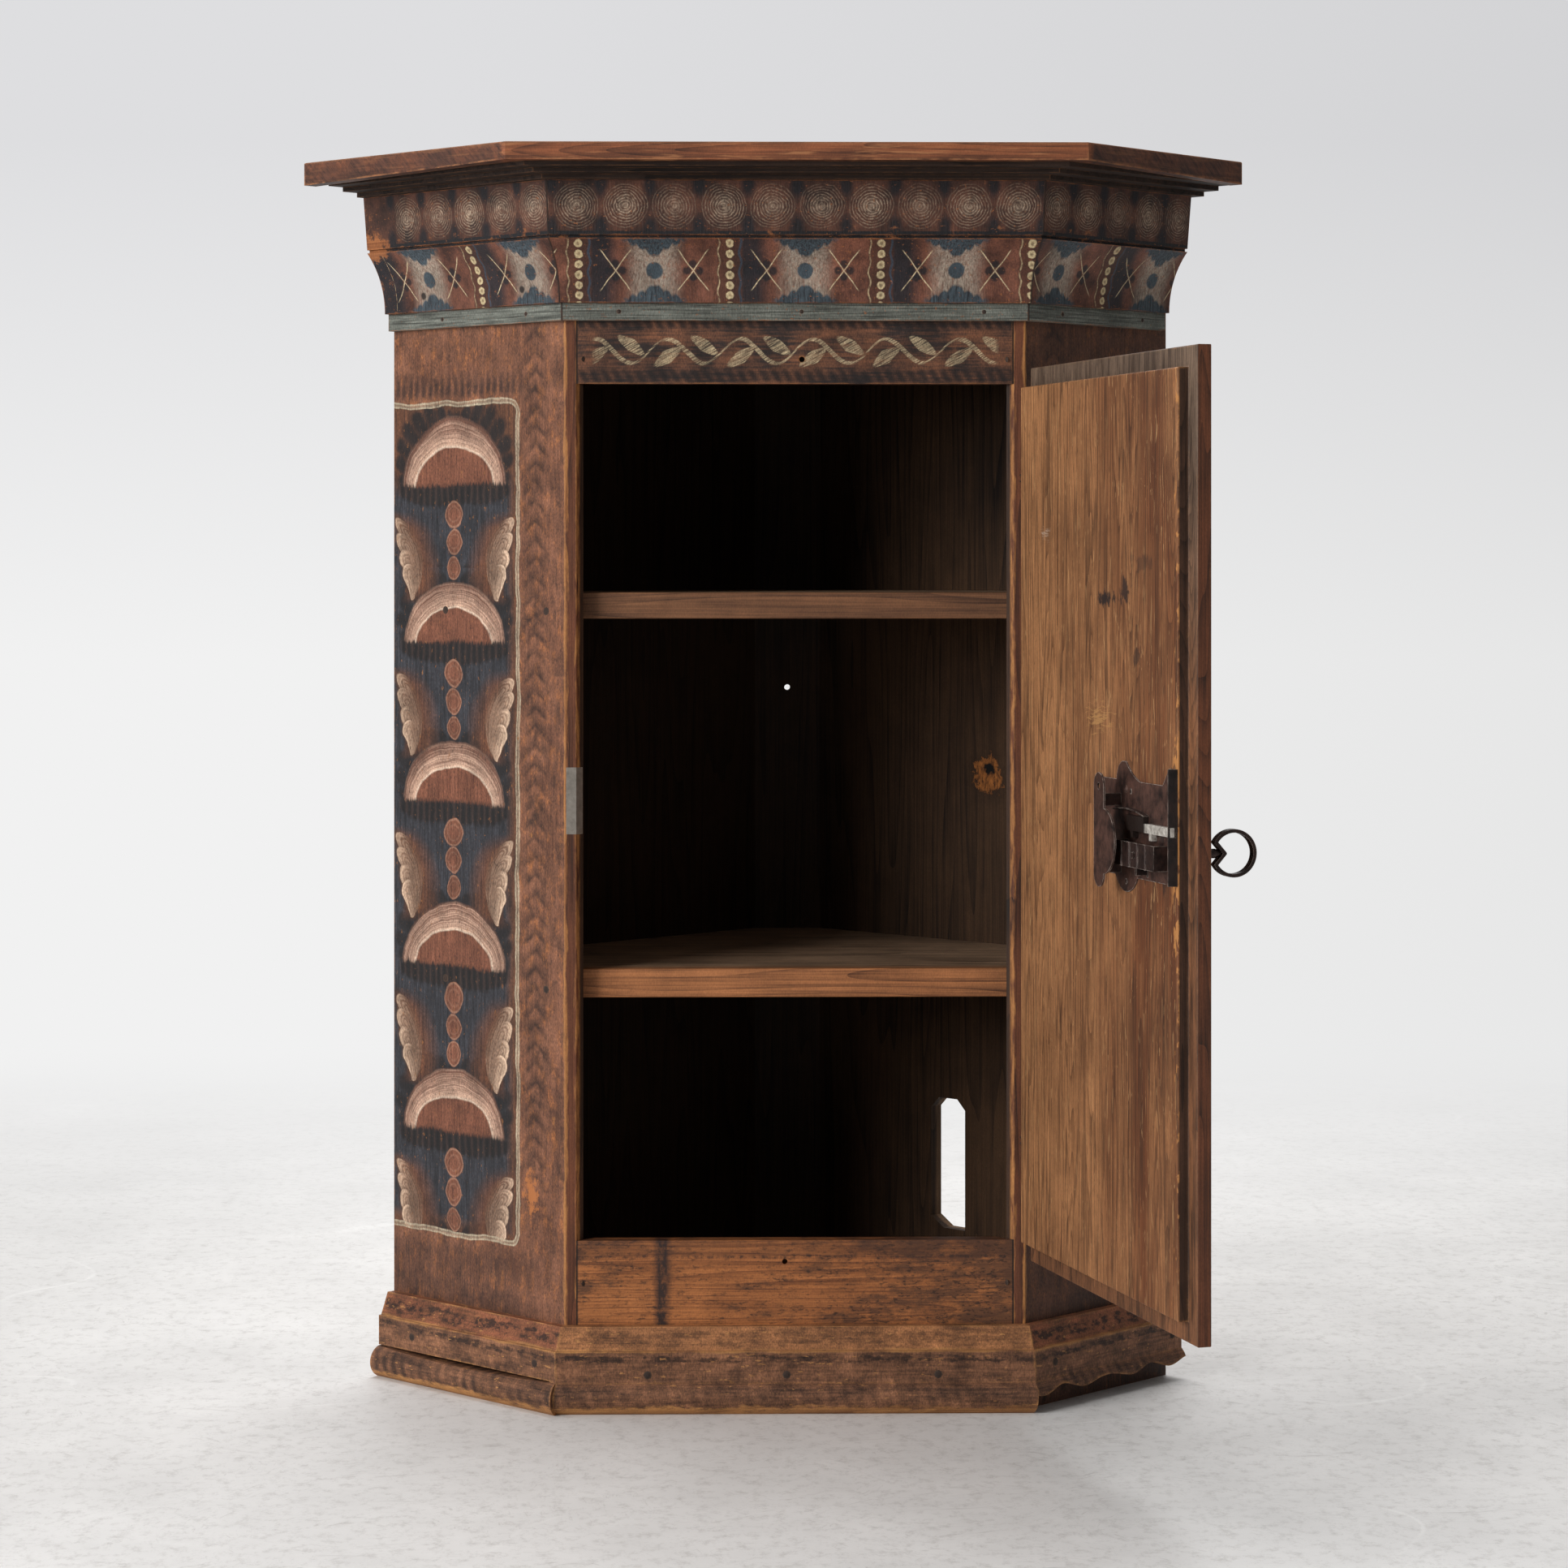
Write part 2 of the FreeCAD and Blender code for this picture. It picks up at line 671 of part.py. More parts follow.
def lock_bridge():
    """The tall slender plate that stands over the works on two legs."""
    level = inner_face + bridge_rise
    low = lock_bottom - bridge_drop
    left, middle, top = bridge_left, low + bridge_height / 2, low + bridge_height
    ear = bridge_ear_width / 2
    ear_x = left - ear
    belly = left - bridge_width

    def at(x, z):
        return Vector(x, level, z)

    edges = [Part.makeLine(at(left, low + ear), at(left, top - ear))]
    edges.append(Part.Arc(at(left, top - ear), at(ear_x, top), at(ear_x - ear, top - ear)).toShape())
    waist = middle + bridge_waist
    edges.append(Part.makeLine(at(ear_x - ear, top - ear), at(ear_x - ear, waist)))
    edges.append(Part.Arc(at(ear_x - ear, waist), at(belly, middle),
                          at(ear_x - ear, low + ear)).toShape())
    edges.append(Part.Arc(at(ear_x - ear, low + ear), at(ear_x, low), at(left, low + ear)).toShape())
    body = Part.Face(Part.Wire(edges)).extrude(BACK * bridge_thickness)
    body = body.cut(Part.makeCylinder(nail_shank, 4 * bridge_thickness, at(ear_x, top - ear) - BACK, BACK))
    for z in (lock_bottom + bridge_leg_rise, top - 2 * ear - bridge_leg_width / 2):
        leg = Part.makeBox(bridge_thickness, level - plate_top, bridge_leg_width,
                           Vector(left - bridge_leg_width, plate_top, z))
        body = body.fuse(leg)
    return body.removeSplitter()


def lock_strap():
    """The ribbed strap that bridges the key and carries its pin."""
    left = key_axis.x - strap_length / 2
    low = key_height - strap_height / 2
    level = inner_face + strap_rise
    body = Part.makeBox(strap_length, strap_thickness, strap_height, Vector(left, level, low))
    for x in (left, left + strap_length - strap_thickness):
        leg = Part.makeBox(strap_thickness, level - plate_top, strap_height, Vector(x, plate_top, low))
        body = body.fuse(leg)
    pitch = strap_length / (strap_ridges + 1)
    for k in range(1, strap_ridges + 1):
        ridge = Part.makeCylinder(strap_ridge, strap_height,
                                  Vector(left + k * pitch, level + strap_thickness, low), UP)
        body = body.fuse(ridge)
    hole = Part.makeCylinder(key_pin_radius + running_fit, 6 * strap_thickness,
                             Vector(key_axis.x, level - strap_thickness, key_height), BACK)
    return body.cut(hole).removeSplitter()


def lock_spring():
    """The leaf spring that presses on the bolt's tail, held in a folded foot on the plate."""
    tail_top = bolt_axis - bolt_height / 2 + bolt_tail_height
    right = field_free + bolt_head_length
    start = Vector(right, plate_top, tail_top + sliding_gap)
    end = start + Vector(spring_length, 0, 2 * spring_thickness)
    middle = (start + end) * 0.5 + UP * 3 * spring_thickness
    lower = Part.Arc(start, middle, end).toShape()
    rise = UP * spring_thickness
    upper = Part.Arc(start + rise, middle + rise, end + rise).toShape()
    rim = [lower, Part.makeLine(end, end + rise), upper, Part.makeLine(start + rise, start)]
    return Part.Face(Part.Wire(Part.__sortEdges__(rim))).extrude(BACK * spring_width)


def key():
    """The key: pin and bit inside, shank through the door, and a kidney-shaped bow of band iron."""
    strap_level = inner_face + strap_rise
    pin_end = strap_level + strap_thickness + strap_ridge
    bow_start = outer_face - key_stem_outside
    stem_foot = Vector(key_axis.x, bow_start, key_height)
    shank = Part.makeCylinder(key_shank_radius, strap_level - sliding_gap - bow_start, stem_foot, BACK)
    pin = Part.makeCylinder(key_pin_radius, pin_end - bow_start, stem_foot, BACK)
    bit_low = plate_top + sliding_gap
    bit = Part.makeBox(key_bit_thickness, strap_level - sliding_gap - bit_low, key_bit_radius,
                       key_axis + Vector(-key_bit_thickness / 2, bit_low, -key_bit_radius))
    mouth = math.radians(key_bow_mouth_angle)
    center = bow_start + key_bow_radius * math.cos(mouth)

    def bow_point(forward, up):
        return Vector(key_axis.x - key_bow_width / 2, center - forward, key_height + up)

    mouth_depth = key_bow_radius * math.cos(mouth)
    ends = [bow_point(mouth_depth, s * key_bow_radius * math.sin(mouth)) for s in (1, -1)]
    cusp = bow_point(mouth_depth + key_bow_cusp, 0)
    ring = Part.Arc(ends[0], bow_point(key_bow_radius, 0), ends[1]).toShape()
    path = Part.Wire([ring, Part.makeLine(ends[1], cusp), Part.makeLine(cusp, ends[0])])
    rims = [path.makeOffset2D(d) for d in (key_bow_band / 2, -key_bow_band / 2)]
    rims.sort(key=lambda wire: wire.BoundBox.DiagonalLength)
    hoop = Part.Face(rims[1]).cut(Part.Face(rims[0])).extrude(Vector(key_bow_width, 0, 0))
    point = Part.makeCone(key_shank_radius, key_point_radius, key_bow_cusp + key_point, stem_foot,
                          BACK * -1)
    return shank.fuse([pin, bit, hoop, point]).removeSplitter()


door_parts = {"door_leaf": door_leaf(), "lock_plate": lock_plate(), "lock_bolt": lock_bolt(),
              "lock_bridge": lock_bridge(), "lock_strap": lock_strap(), "lock_spring": lock_spring(),
              "key": key()}
into_board = Vector(-DIAGONAL, DIAGONAL, 0)
eye_offset = into_board * staple_eye
hinge_heights = {"upper": field_top - upper_hinge_drop, "lower": field_bottom + lower_hinge_rise}
for word, height in hinge_heights.items():
    hinge_point = pivot + UP * height
    fixed = staple(hinge_point + eye_offset, Vector(DIAGONAL, DIAGONAL, 0), into_board, staple_eye,
                   staple_eye + staple_leg)
    solids["frame_staple_" + word] = fixed
    solids["side_board_right"] = solids["side_board_right"].cut(fixed)
    reach = pivot.x - field_hinge + staple_leg
    moving = staple(hinge_point, UP, Vector(-1, 0, 0), hinge_eye, reach)
    door_parts["door_leaf"] = door_parts["door_leaf"].cut(moving)
    door_parts["door_staple_" + word] = moving

lock_nail_spots = [(field_free + lock_nail_inset, lock_top + lock_ear / 3),
                   (field_free + lock_nail_inset, lock_bottom + lock_nail_inset),
                   (field_free + lock_foot_from_edge, lock_bottom - lock_foot_drop / 3),
                   (field_free + lock_nail_from_edge, lock_top - lock_nail_inset)]
lock_nails = [nail(Vector(x, plate_top, z), BACK * -1, lock_nail_length, small_head_radius)
              for x, z in lock_nail_spots]
lock_nail_group = Part.makeCompound(lock_nails)
for name in ("door_leaf", "lock_plate"):
    door_parts[name] = door_parts[name].cut(lock_nail_group)
door_parts["lock_nails"] = lock_nail_group
for name, shape in door_parts.items():
    solids[name] = swing(shape)


# Strike plate, let in flush on the left front strip and bent round its edge

def strike_plate():
    middle = key_height + strike_above_key
    corner = Vector(-front_half_width + front_strip, 0, middle - strike_height / 2)
    front = Part.makeBox(strike_leaf, strike_thickness, strike_height, corner - Vector(strike_leaf, 0, 0))
    edge = (corner - Vector(strike_thickness, 0, 0), corner,
            corner + Vector(DIAGONAL, DIAGONAL, 0) * strike_return)
    back = edge[2] - Vector(DIAGONAL, -DIAGONAL, 0) * strike_thickness
    bent = plate([edge[0], edge[1], edge[2], back], UP, strike_height)
    return front.fuse(bent).removeSplitter()


solids["strike_plate"] = strike_plate()
solids["side_board_left"] = solids["side_board_left"].cut(solids["strike_plate"])


# Nails, placed by what they hold

def on_side(side, run, height, projection=0.0):
    return arris(side) + along(side) * (run / DIAGONAL) + outward(side) * projection + UP * height


def nail_runs(insets):
    """How far two nails stand from the front arris: the second is set out from the back corner."""
    return insets[0], back_corner_depth - insets[1]


shelf_heights = [upper_shelf_top - upper_shelf_thickness / 2, lower_shelf_top - lower_shelf_thickness / 2]
shelf_nails = [nail(on_side(side, run, height - shelf_nail_drop), outward(side) * -1)
               for side in (-1, 1) for run in nail_runs(shelf_nail_insets) for height in shelf_heights]
drive("shelf_nails", shelf_nails, ["side_board_left", "side_board_right", "upper_shelf", "lower_shelf"])

fillet_middle = cornice_bottom + fillet_height / 2
cornice_nails = [nail(Vector(x, -fillet_projection, fillet_middle), BACK, cornice_nail_length,
                      brad_head_radius) for x in cornice_nail_places]
cornice_nails += [nail(on_side(side, run, fillet_middle, fillet_projection), outward(side) * -1,
                       cornice_nail_length, brad_head_radius)
                  for side in (-1, 1) for run in nail_runs(cornice_nail_insets)]
drive("cornice_nails", cornice_nails, ["cornice_front", "cornice_left", "cornice_right", "lintel_board",
                                       "side_board_left", "side_board_right"])

band_middle = (base_height - base_slope_height + base_band_bottom) / 2
base_nails = [nail(Vector(x, -base_band_projection, band_middle - base_nail_drop), BACK, base_nail_length)
              for x in base_nail_places]
base_nails += [nail(on_side(side, run, band_middle, base_band_projection), outward(side) * -1,
                    base_nail_length) for side in (-1, 1) for run in nail_runs(base_nail_insets)]
drive("base_nails", base_nails, ["base_front", "base_left_upper", "base_right", "bottom_rail",
                                 "side_board_left", "side_board_right"])

front_nail_x = front_half_width - front_strip - front_nail_inset
front_nails = [nail(Vector(side * front_nail_x, 0, height), along(side), nail_length, small_head_radius)
               for side in (-1, 1)
               for height in (lintel_bottom + lintel_hole_height, rail_top - 2 * rail_hole_drop)]
drive("front_nails", front_nails, ["side_board_left", "side_board_right", "lintel_board", "bottom_rail"])

back_nails = []
for side in (-1, 1):
    run = Vector(side * DIAGONAL, -DIAGONAL, 0)
    face = Vector(side * rear_half_width, rear_board_depth, 0) + along(side) * back_thickness
    for distance in back_nail_runs:
        for height in shelf_heights:
            back_nails.append(nail(face + run * distance + UP * height, along(side) * -1))
drive("back_nails", back_nails, ["back_plank_%s_%s" % (word, place) for word in ("left", "right")
                                 for place in ("inner", "outer")] + ["upper_shelf", "lower_shelf"])

top_nails = [nail(Vector(x, front_thickness / 2, total_height), UP * -1) for x in top_nail_places]
top_nails += [nail(on_side(side, run, total_height, -side_thickness / 2), UP * -1)
              for side in (-1, 1) for run in nail_runs(top_nail_insets)]
drive("top_nails", top_nails, ["top_board", "lintel_board", "side_board_left", "side_board_right"])


# Every part is moved to the origin under the middle of the front rail and written

os.makedirs("parts", exist_ok=True)
to_origin = Vector(0, -front_thickness / 2, 0)
for name, shape in solids.items():
    shape.translate(to_origin)
    shape.exportStep("parts/%s.step" % name)
    print(name, len(shape.Solids), round(shape.Volume), shape.isValid())
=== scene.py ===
import math
from functools import partial

import bmesh
import bpy
from mathutils import Matrix, Vector

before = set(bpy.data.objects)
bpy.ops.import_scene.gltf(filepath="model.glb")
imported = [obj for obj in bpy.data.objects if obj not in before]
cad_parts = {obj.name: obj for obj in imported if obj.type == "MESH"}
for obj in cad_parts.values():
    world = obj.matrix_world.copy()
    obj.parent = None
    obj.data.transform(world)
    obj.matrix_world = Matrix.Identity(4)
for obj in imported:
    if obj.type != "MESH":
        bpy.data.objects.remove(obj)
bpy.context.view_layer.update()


# Side boards: two canted pine boards that carry the painted panels.
# Glue distemper in earth red, blue-black and pipe-clay white, combed and dabbed while wet,
# and rubbed through to orange wood along the arrises.

MM = 1000.0
LEFT_ARRIS, RIGHT_ARRIS = (-0.183, -0.007, 0), (0.183, -0.007, 0)
LEFT_TURN, RIGHT_TURN = math.radians(-135), math.radians(-45)
BOARD_THICKNESS, STRIP_RUN = 14.0, 6.4


def linear(code):
    """An sRGB hex colour as linear RGBA."""
    parts = [int(code[k:k + 2], 16) / 255 for k in (1, 3, 5)]
    return [c / 12.92 if c <= 0.04045 else ((c + 0.055) / 1.055) ** 2.4 for c in parts] + [1.0]


def add(tree, kind, *inputs, out=None, **settings):
    """Adds a node. A kind in capitals is an operation of the Math node, another kind may name its
    operation after a dot, and a Mix mixes colours. Inputs are links, values or hex colours."""
    kind, _, operation = ("Math." + kind if kind.isupper() else kind).partition(".")
    node = tree.nodes.new("ShaderNode" + kind)
    if kind == "Mix":
        node.data_type, node.blend_type = "RGBA", operation or "MIX"
    elif operation:
        node.operation = operation
    for name, value in settings.items():
        setattr(node, name, value)
    for socket, value in zip([s for s in node.inputs if s.enabled], inputs):
        if isinstance(value, bpy.types.NodeSocket):
            tree.links.new(value, socket)
        elif value is not None:
            socket.default_value = linear(value) if isinstance(value, str) else value
    return node.outputs[out] if out else next(o for o in node.outputs if o.enabled)


def start_finish(name, roughness, specular):
    """A new material. Returns it, its shader and the function that adds nodes to it."""
    material = bpy.data.materials.new(name)
    material.use_nodes = True
    shader = material.node_tree.nodes["Principled BSDF"]
    shader.inputs["Roughness"].default_value = roughness
    shader.inputs["Specular IOR Level"].default_value = specular
    return material, shader, partial(add, material.node_tree)


def set_out(put, turn=0.0, origin=(0, 0, 0)):
    """Millimetres set out from a corner: x along the board, y through it, z up."""
    shift = -(Matrix.Rotation(turn, 3, "Z") @ (Vector(origin) * MM))
    return put("Mapping", put("TexCoord", out="Object"), shift, (0, 0, turn), (MM, MM, MM))


def mottle(put, place, size, detail=4.0, roughness=0.6):
    """An uneven tone from 0 to 1, its blots as many millimetres across as the size says."""
    noise = put("TexNoise", put("VectorMath.DIVIDE", place, size), 1.0, detail, roughness)
    return put("MapRange", noise, 0.32, 0.68)


def aged(put, colour, place, strength=1.0):
    """The colour under old grime: cloudy blotches and fine pores."""
    blotch = put("MapRange", mottle(put, place, (24, 24, 32), 7.0, 0.7), 0.0, 1.0,
                 1.0 - 0.42 * strength, 1.0 + 0.3 * strength)
    pores = put("MapRange", mottle(put, place, (1.0, 1.0, 2.4), 2.0), 0.0, 1.0,
                1.0 - 0.38 * strength, 1.0 + 0.34 * strength)
    return put("Mix.MULTIPLY", 1.0, colour, put("MULTIPLY", blotch, pores))


def pine(put, place, grain, light, dark, rings=16.0):
    """Flat-sawn pine: growth rings as contours of a long soft field, fine fibres and old grime."""
    ring_size, fibre_size = [55.0] * 3, [1.5] * 3
    ring_size[grain], fibre_size[grain] = 900.0, 90.0
    field = put("TexNoise", put("VectorMath.DIVIDE", place, ring_size), 1.0, 2.0, 0.4)
    lines = put("POWER", put("FRACT", put("MULTIPLY", field, rings)), 2.5)
    fibre = mottle(put, place, fibre_size, 3.0)
    grime = mottle(put, place, [120.0] * 3)
    tone = put("MULTIPLY_ADD", lines, 0.5, put("MULTIPLY_ADD", fibre, 0.55, -0.3))
    tone = put("MULTIPLY_ADD", grime, 0.5, tone)
    return aged(put, put("Mix", tone, light, dark), place, 0.4), tone


def rubbed_edges(put, place, width, wear=0.6):
    """How far the paint is rubbed off along the arrises, broken up as handling leaves it."""
    rounded = put("Bevel", width / MM, samples=6)
    bend = put("VectorMath.DOT_PRODUCT", rounded, put("NewGeometry", out="True Normal"))
    near = put("MapRange", bend, 0.995, 0.86, 0.0, wear)
    patches = mottle(put, place, [16.0] * 3, 7.0, 0.72)
    return put("MapRange", put("MULTIPLY_ADD", patches, 0.8, near), 0.82, 1.2, 0.0, 0.95)


def apart(put, value, other):
    """How far two values are apart."""
    return put("ABSOLUTE", put("SUBTRACT", value, other))


def axes(put, place):
    """The three coordinates of a place."""
    return put("SeparateXYZ", place).node.outputs


def spot(put, s, z, where, height, half_width, half_height):
    """How far out a place lies from the middle of a spot: 1 is its rim."""
    off = put("VectorMath.SUBTRACT", put("CombineXYZ", s, z, 0.0), (where, height, 0.0))
    return put("VectorMath.LENGTH", put("VectorMath.DIVIDE", off, (half_width, half_height, 1.0)))


def dress(finish, *names):
    """Gives the finish to the named pieces."""
    for name in names:
        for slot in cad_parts[name].material_slots:
            slot.material = finish


def hand_drawn(put, place, sway, size):
    """The same place, pushed about a little, so that lines waver as a brush does."""
    noise = put("TexNoise", put("VectorMath.DIVIDE", place, [size] * 3), 1.0, 1.0, out="Color")
    push = put("VectorMath.MULTIPLY_ADD", noise, [2 * sway] * 3, [-sway] * 3)
    return put("VectorMath.ADD", place, push)


def painted_ground(put, place):
    """Earth red distemper, combed upright, thin in places and black with grime in others."""
    streak = mottle(put, place, (2.2, 2.2, 30.0), 3.0)
    tone = put("MULTIPLY_ADD", streak, 0.5, put("MULTIPLY", mottle(put, place, [34.0] * 3), 0.5))
    paint = put("Mix", tone, "#4f2f21", "#8f6048")
    thin = put("MapRange", mottle(put, place, (9.0, 9.0, 17.0), 7.0, 0.78), 0.55, 0.95, 0.0, 0.8)
    paint = put("Mix", thin, paint, "#ad6c3e")
    soot = put("MapRange", mottle(put, place, (15.0, 15.0, 22.0), 7.0, 0.78), 0.5, 0.95, 0.0, 0.75)
    return put("Mix", soot, paint, "#35241d"), streak


def combed_panel(put, place, centre, column, field, rows):
    """The folk ornament: rows of combed arches with a fringe, three beads and a pair of wings below,
    inside a wavering cream border. Returns its colour over the ground."""
    first_row, row, top_row = rows
    left, right, low, high = field
    ground, streak = painted_ground(put, place)
    sway = hand_drawn(put, hand_drawn(put, place, 3.2, 45.0), 1.3, 11.0)
    s, _, z = axes(put, sway)
    from_centre = put("WRAP", put("SUBTRACT", s, centre), column / 2, -column / 2)
    across = put("ABSOLUTE", from_centre)
    drift = put("SINE", put("MapRange", z, first_row, top_row, 0.0, math.pi))
    rise = put("MULTIPLY_ADD", drift, -5.5, put("SUBTRACT", z, first_row))
    arch_rise = put("WRAP", rise, row - 60.0, -60.0)
    hang = put("WRAP", rise, row - 100.0, -100.0)
    number = put("FLOOR", put("DIVIDE", put("ADD", rise, 60.0), row))
    below_top = put("LESS_THAN", z, top_row + 12.0)

    # Blue-black field, browner along the border and over the top row, and the dark dabs round the arches
    side = put("MAXIMUM", put("SUBTRACT", left, s), put("SUBTRACT", s, right))
    end = put("MAXIMUM", put("SUBTRACT", low, z), put("SUBTRACT", z, high))
    rounding = 9.0
    rim = put("CombineXYZ", put("MAXIMUM", put("ADD", side, rounding), 0.0),
              put("MAXIMUM", put("ADD", end, rounding), 0.0), 0.0)
    rim = put("SUBTRACT", put("VectorMath.LENGTH", rim), rounding)
    dark = put("Mix", streak, "#1c1d21", "#3e3e44")
    brown = put("Mix", streak, "#3f281d", "#75492f")
    brown_share = put("MAXIMUM", put("MapRange", put("MAXIMUM", side, end), -15.0, -5.0, 0.0, 0.85),
                      put("MapRange", z, top_row - 10.0, top_row + 12.0, 0.0, 0.9))
    inner = put("Mix", brown_share, dark, brown)
    taller = put("MapRange", z, top_row - row / 2, top_row - row / 2 + 1.0, 1.0, 1.11)
    arch_point = put("CombineXYZ", across, put("DIVIDE", arch_rise, taller), 0.0)
    span = put("VectorMath.LENGTH", put("VectorMath.DIVIDE", arch_point, (63.0, 52.5, 1.0)))
    hollow = put("VectorMath.LENGTH", put("VectorMath.DIVIDE", arch_point, (48.0, 30.0, 1.0)))
    angle = put("ARCTAN2", arch_rise, across)
    upper = put("MapRange", arch_rise, -1.0, 1.0)
    spread = put("MULTIPLY_ADD", streak, 0.8, put("MULTIPLY", angle, 15.0))
    spoke = put("SQRT", put("ABSOLUTE", put("SINE", spread)))
    corner = put("MULTIPLY_ADD", put("SINE", put("MULTIPLY", angle, 2.0)), 0.32, 0.9)
    reach = put("MULTIPLY_ADD", spoke, 0.12, put("MULTIPLY_ADD", streak, 0.06, corner))
    halo = put("MapRange", put("SUBTRACT", reach, span), -0.03, 0.05)
    halo = put("MULTIPLY", put("MULTIPLY", halo, upper), put("MapRange", spoke, 0.2, 0.9, 0.6, 0.92))
    inner = put("Mix", halo, inner, "#1d1a1b")

    # Combed arch, palest at its inner rim, over a red half-disc
    past_rim = put("SUBTRACT", hollow, 1.0)
    share = put("DIVIDE", past_rim, put("ADD", past_rim, put("SUBTRACT", 1.0, span)))
    comb_place = put("CombineXYZ", put("MULTIPLY", share, 21.0), put("MULTIPLY", angle, 0.7), number)
    comb = mottle(put, comb_place, (1.0, 1.0, 0.15), 2.0)
    pale = put("MapRange", share, 0.0, 1.0, 0.85, 0.1)
    pale = put("MULTIPLY_ADD", put("SUBTRACT", comb, 0.5), 0.75, pale)
    arch = put("Mix", pale, "#6b493b", "#d0ab93")
    arch = put("Mix", put("MapRange", share, 0.16, 0.03, 0.0, 0.75), arch, "#dfc8b1")
    disc = put("Mix", streak, "#5c3526", "#85543f")
    arch = put("Mix", put("MapRange", hollow, 1.02, 0.97), arch, disc)
    inside = put("MULTIPLY", put("MapRange", span, 1.02, 0.97), upper)
    inner = put("Mix", inside, inner, arch)

    # Dark fringe of short strokes under each arch
    tooth = put("SQRT", put("ABSOLUTE", put("SINE", put("MULTIPLY", across, math.pi / 7.5))))
    foot = put("MULTIPLY_ADD", put("POWER", put("DIVIDE", across, 68.0), 4.0), 9.0, -13.0)
    foot = put("SUBTRACT", put("SUBTRACT", arch_rise, foot), put("MULTIPLY", tooth, -3.5))
    head = put("SUBTRACT", put("MULTIPLY_ADD", streak, 5.0, -0.5), arch_rise)
    fringe = put("MULTIPLY", put("MapRange", foot, -1.8, 1.8), put("MapRange", head, -1.6, 1.6))
    fringe = put("MULTIPLY", fringe, put("MapRange", across, 71.0, 65.0, 0.0, 0.95))
    inner = put("Mix", fringe, inner, put("Mix", tooth, "#40302a", "#161415"))

    # Three beads on the centre line, each smaller than the one above and drawn to a point
    bead = None
    for height, half_height, half_width in ((-23.5, 12.4, 11.6), (-47.0, 11.0, 9.8), (-68.5, 9.8, 8.4)):
        wide = put("POWER", put("DIVIDE", across, half_width), 2.0)
        tall = put("DIVIDE", apart(put, hang, height), half_height)
        size = put("ADD", wide, put("POWER", tall, 1.5))
        bead = size if bead is None else put("MINIMUM", bead, size)
    outline = put("MapRange", apart(put, bead, 0.88), 0.05, 0.14, 1.0, 0.0)
    ring = put("MapRange", apart(put, bead, 0.4), 0.03, 0.12, 0.22, 0.0)
    red = put("Mix", put("MAXIMUM", put("MULTIPLY", outline, 0.5), ring), disc, "#a57f69")
    on_bead = put("MULTIPLY", put("MapRange", bead, 1.06, 0.96, 0.0, 0.95), below_top)
    inner = put("Mix", on_bead, inner, red)

    # Pale wings: four round-headed brush strokes that overlap like scales and sweep down to one point,
    # combed along their length, pale outside and fading through brown into the field inside
    wing_foot, wing_waist, wing_bend = Vector((44.5, -93.0, 0.0)), 70.0, 0.0119
    from_waist = put("ADD", hang, wing_waist)
    bent = put("MULTIPLY", put("MULTIPLY", from_waist, from_waist), wing_bend)
    bent = put("SUBTRACT", across, bent)
    free = put("MULTIPLY", below_top, put("SUBTRACT", 1.0, inside))
    glow = put("MULTIPLY", put("MapRange", bent, 15.0, 40.0, 0.0, 0.95), put("MapRange", hang, -20.0, -34.0))
    glow = put("MULTIPLY", glow, put("MapRange", bent, 60.0, 50.0))
    glow = put("MULTIPLY", glow, put("MapRange", hang, -99.0, -86.0))
    inner = put("Mix", put("MULTIPLY", glow, free), inner, put("Mix", streak, "#4d2f20", "#7a4c34"))
    far_side = put("MapRange", from_centre, -1.0, 1.0, 1.0, 0.78)
    point = put("CombineXYZ", bent, hang, 0.0)
    bristle = mottle(put, place, (4.0, 4.0, 4.0), 3.0)
    for head_across, head_hang, head_size, tone in (
            (45.5, -37.0, 10.5, 0.26), (53.5, -48.5, 10.5, 0.36),
            (57.0, -61.5, 9.5, 0.44), (56.5, -72.5, 8.0, 0.52)):
        head = Vector((head_across, head_hang, 0.0))
        run = wing_foot - head
        from_head = put("VectorMath.SUBTRACT", point, head)
        length = put("DIVIDE", put("VectorMath.DOT_PRODUCT", from_head, run), run.length_squared, use_clamp=True)
        off = put("VectorMath.SUBTRACT", from_head, put("VectorMath.SCALE", run, length))
        width = put("VectorMath.LENGTH", off)
        share = put("DIVIDE", width, put("MapRange", length, 0.0, 1.0, head_size, 2.4))
        inwards = put("DIVIDE", axes(put, off)[0], -head_size)
        combed = put("PINGPONG", put("MULTIPLY_ADD", bristle, 1.2, width), 1.6)
        pale = put("MULTIPLY_ADD", combed, 0.24, put("MapRange", share, 0.55, 0.95, tone - 0.2, tone + 0.18))
        pale = put("MULTIPLY", pale, put("MapRange", inwards, -0.4, 0.8, 1.0, 0.15))
        pale = put("MULTIPLY", pale, far_side)
        soft = put("MULTIPLY", put("MapRange", inwards, 0.0, 0.9, 1.0, 0.1), free)
        parting = put("MULTIPLY", put("MapRange", share, 1.4, 1.05, 0.0, 0.5), soft)
        inner = put("Mix", parting, inner, "#4d3223")
        shape = put("MULTIPLY", put("MapRange", share, 1.06, 0.95), soft)
        inner = put("Mix", shape, inner, put("Mix", pale, "#5b3a29", "#e0c0a4"))

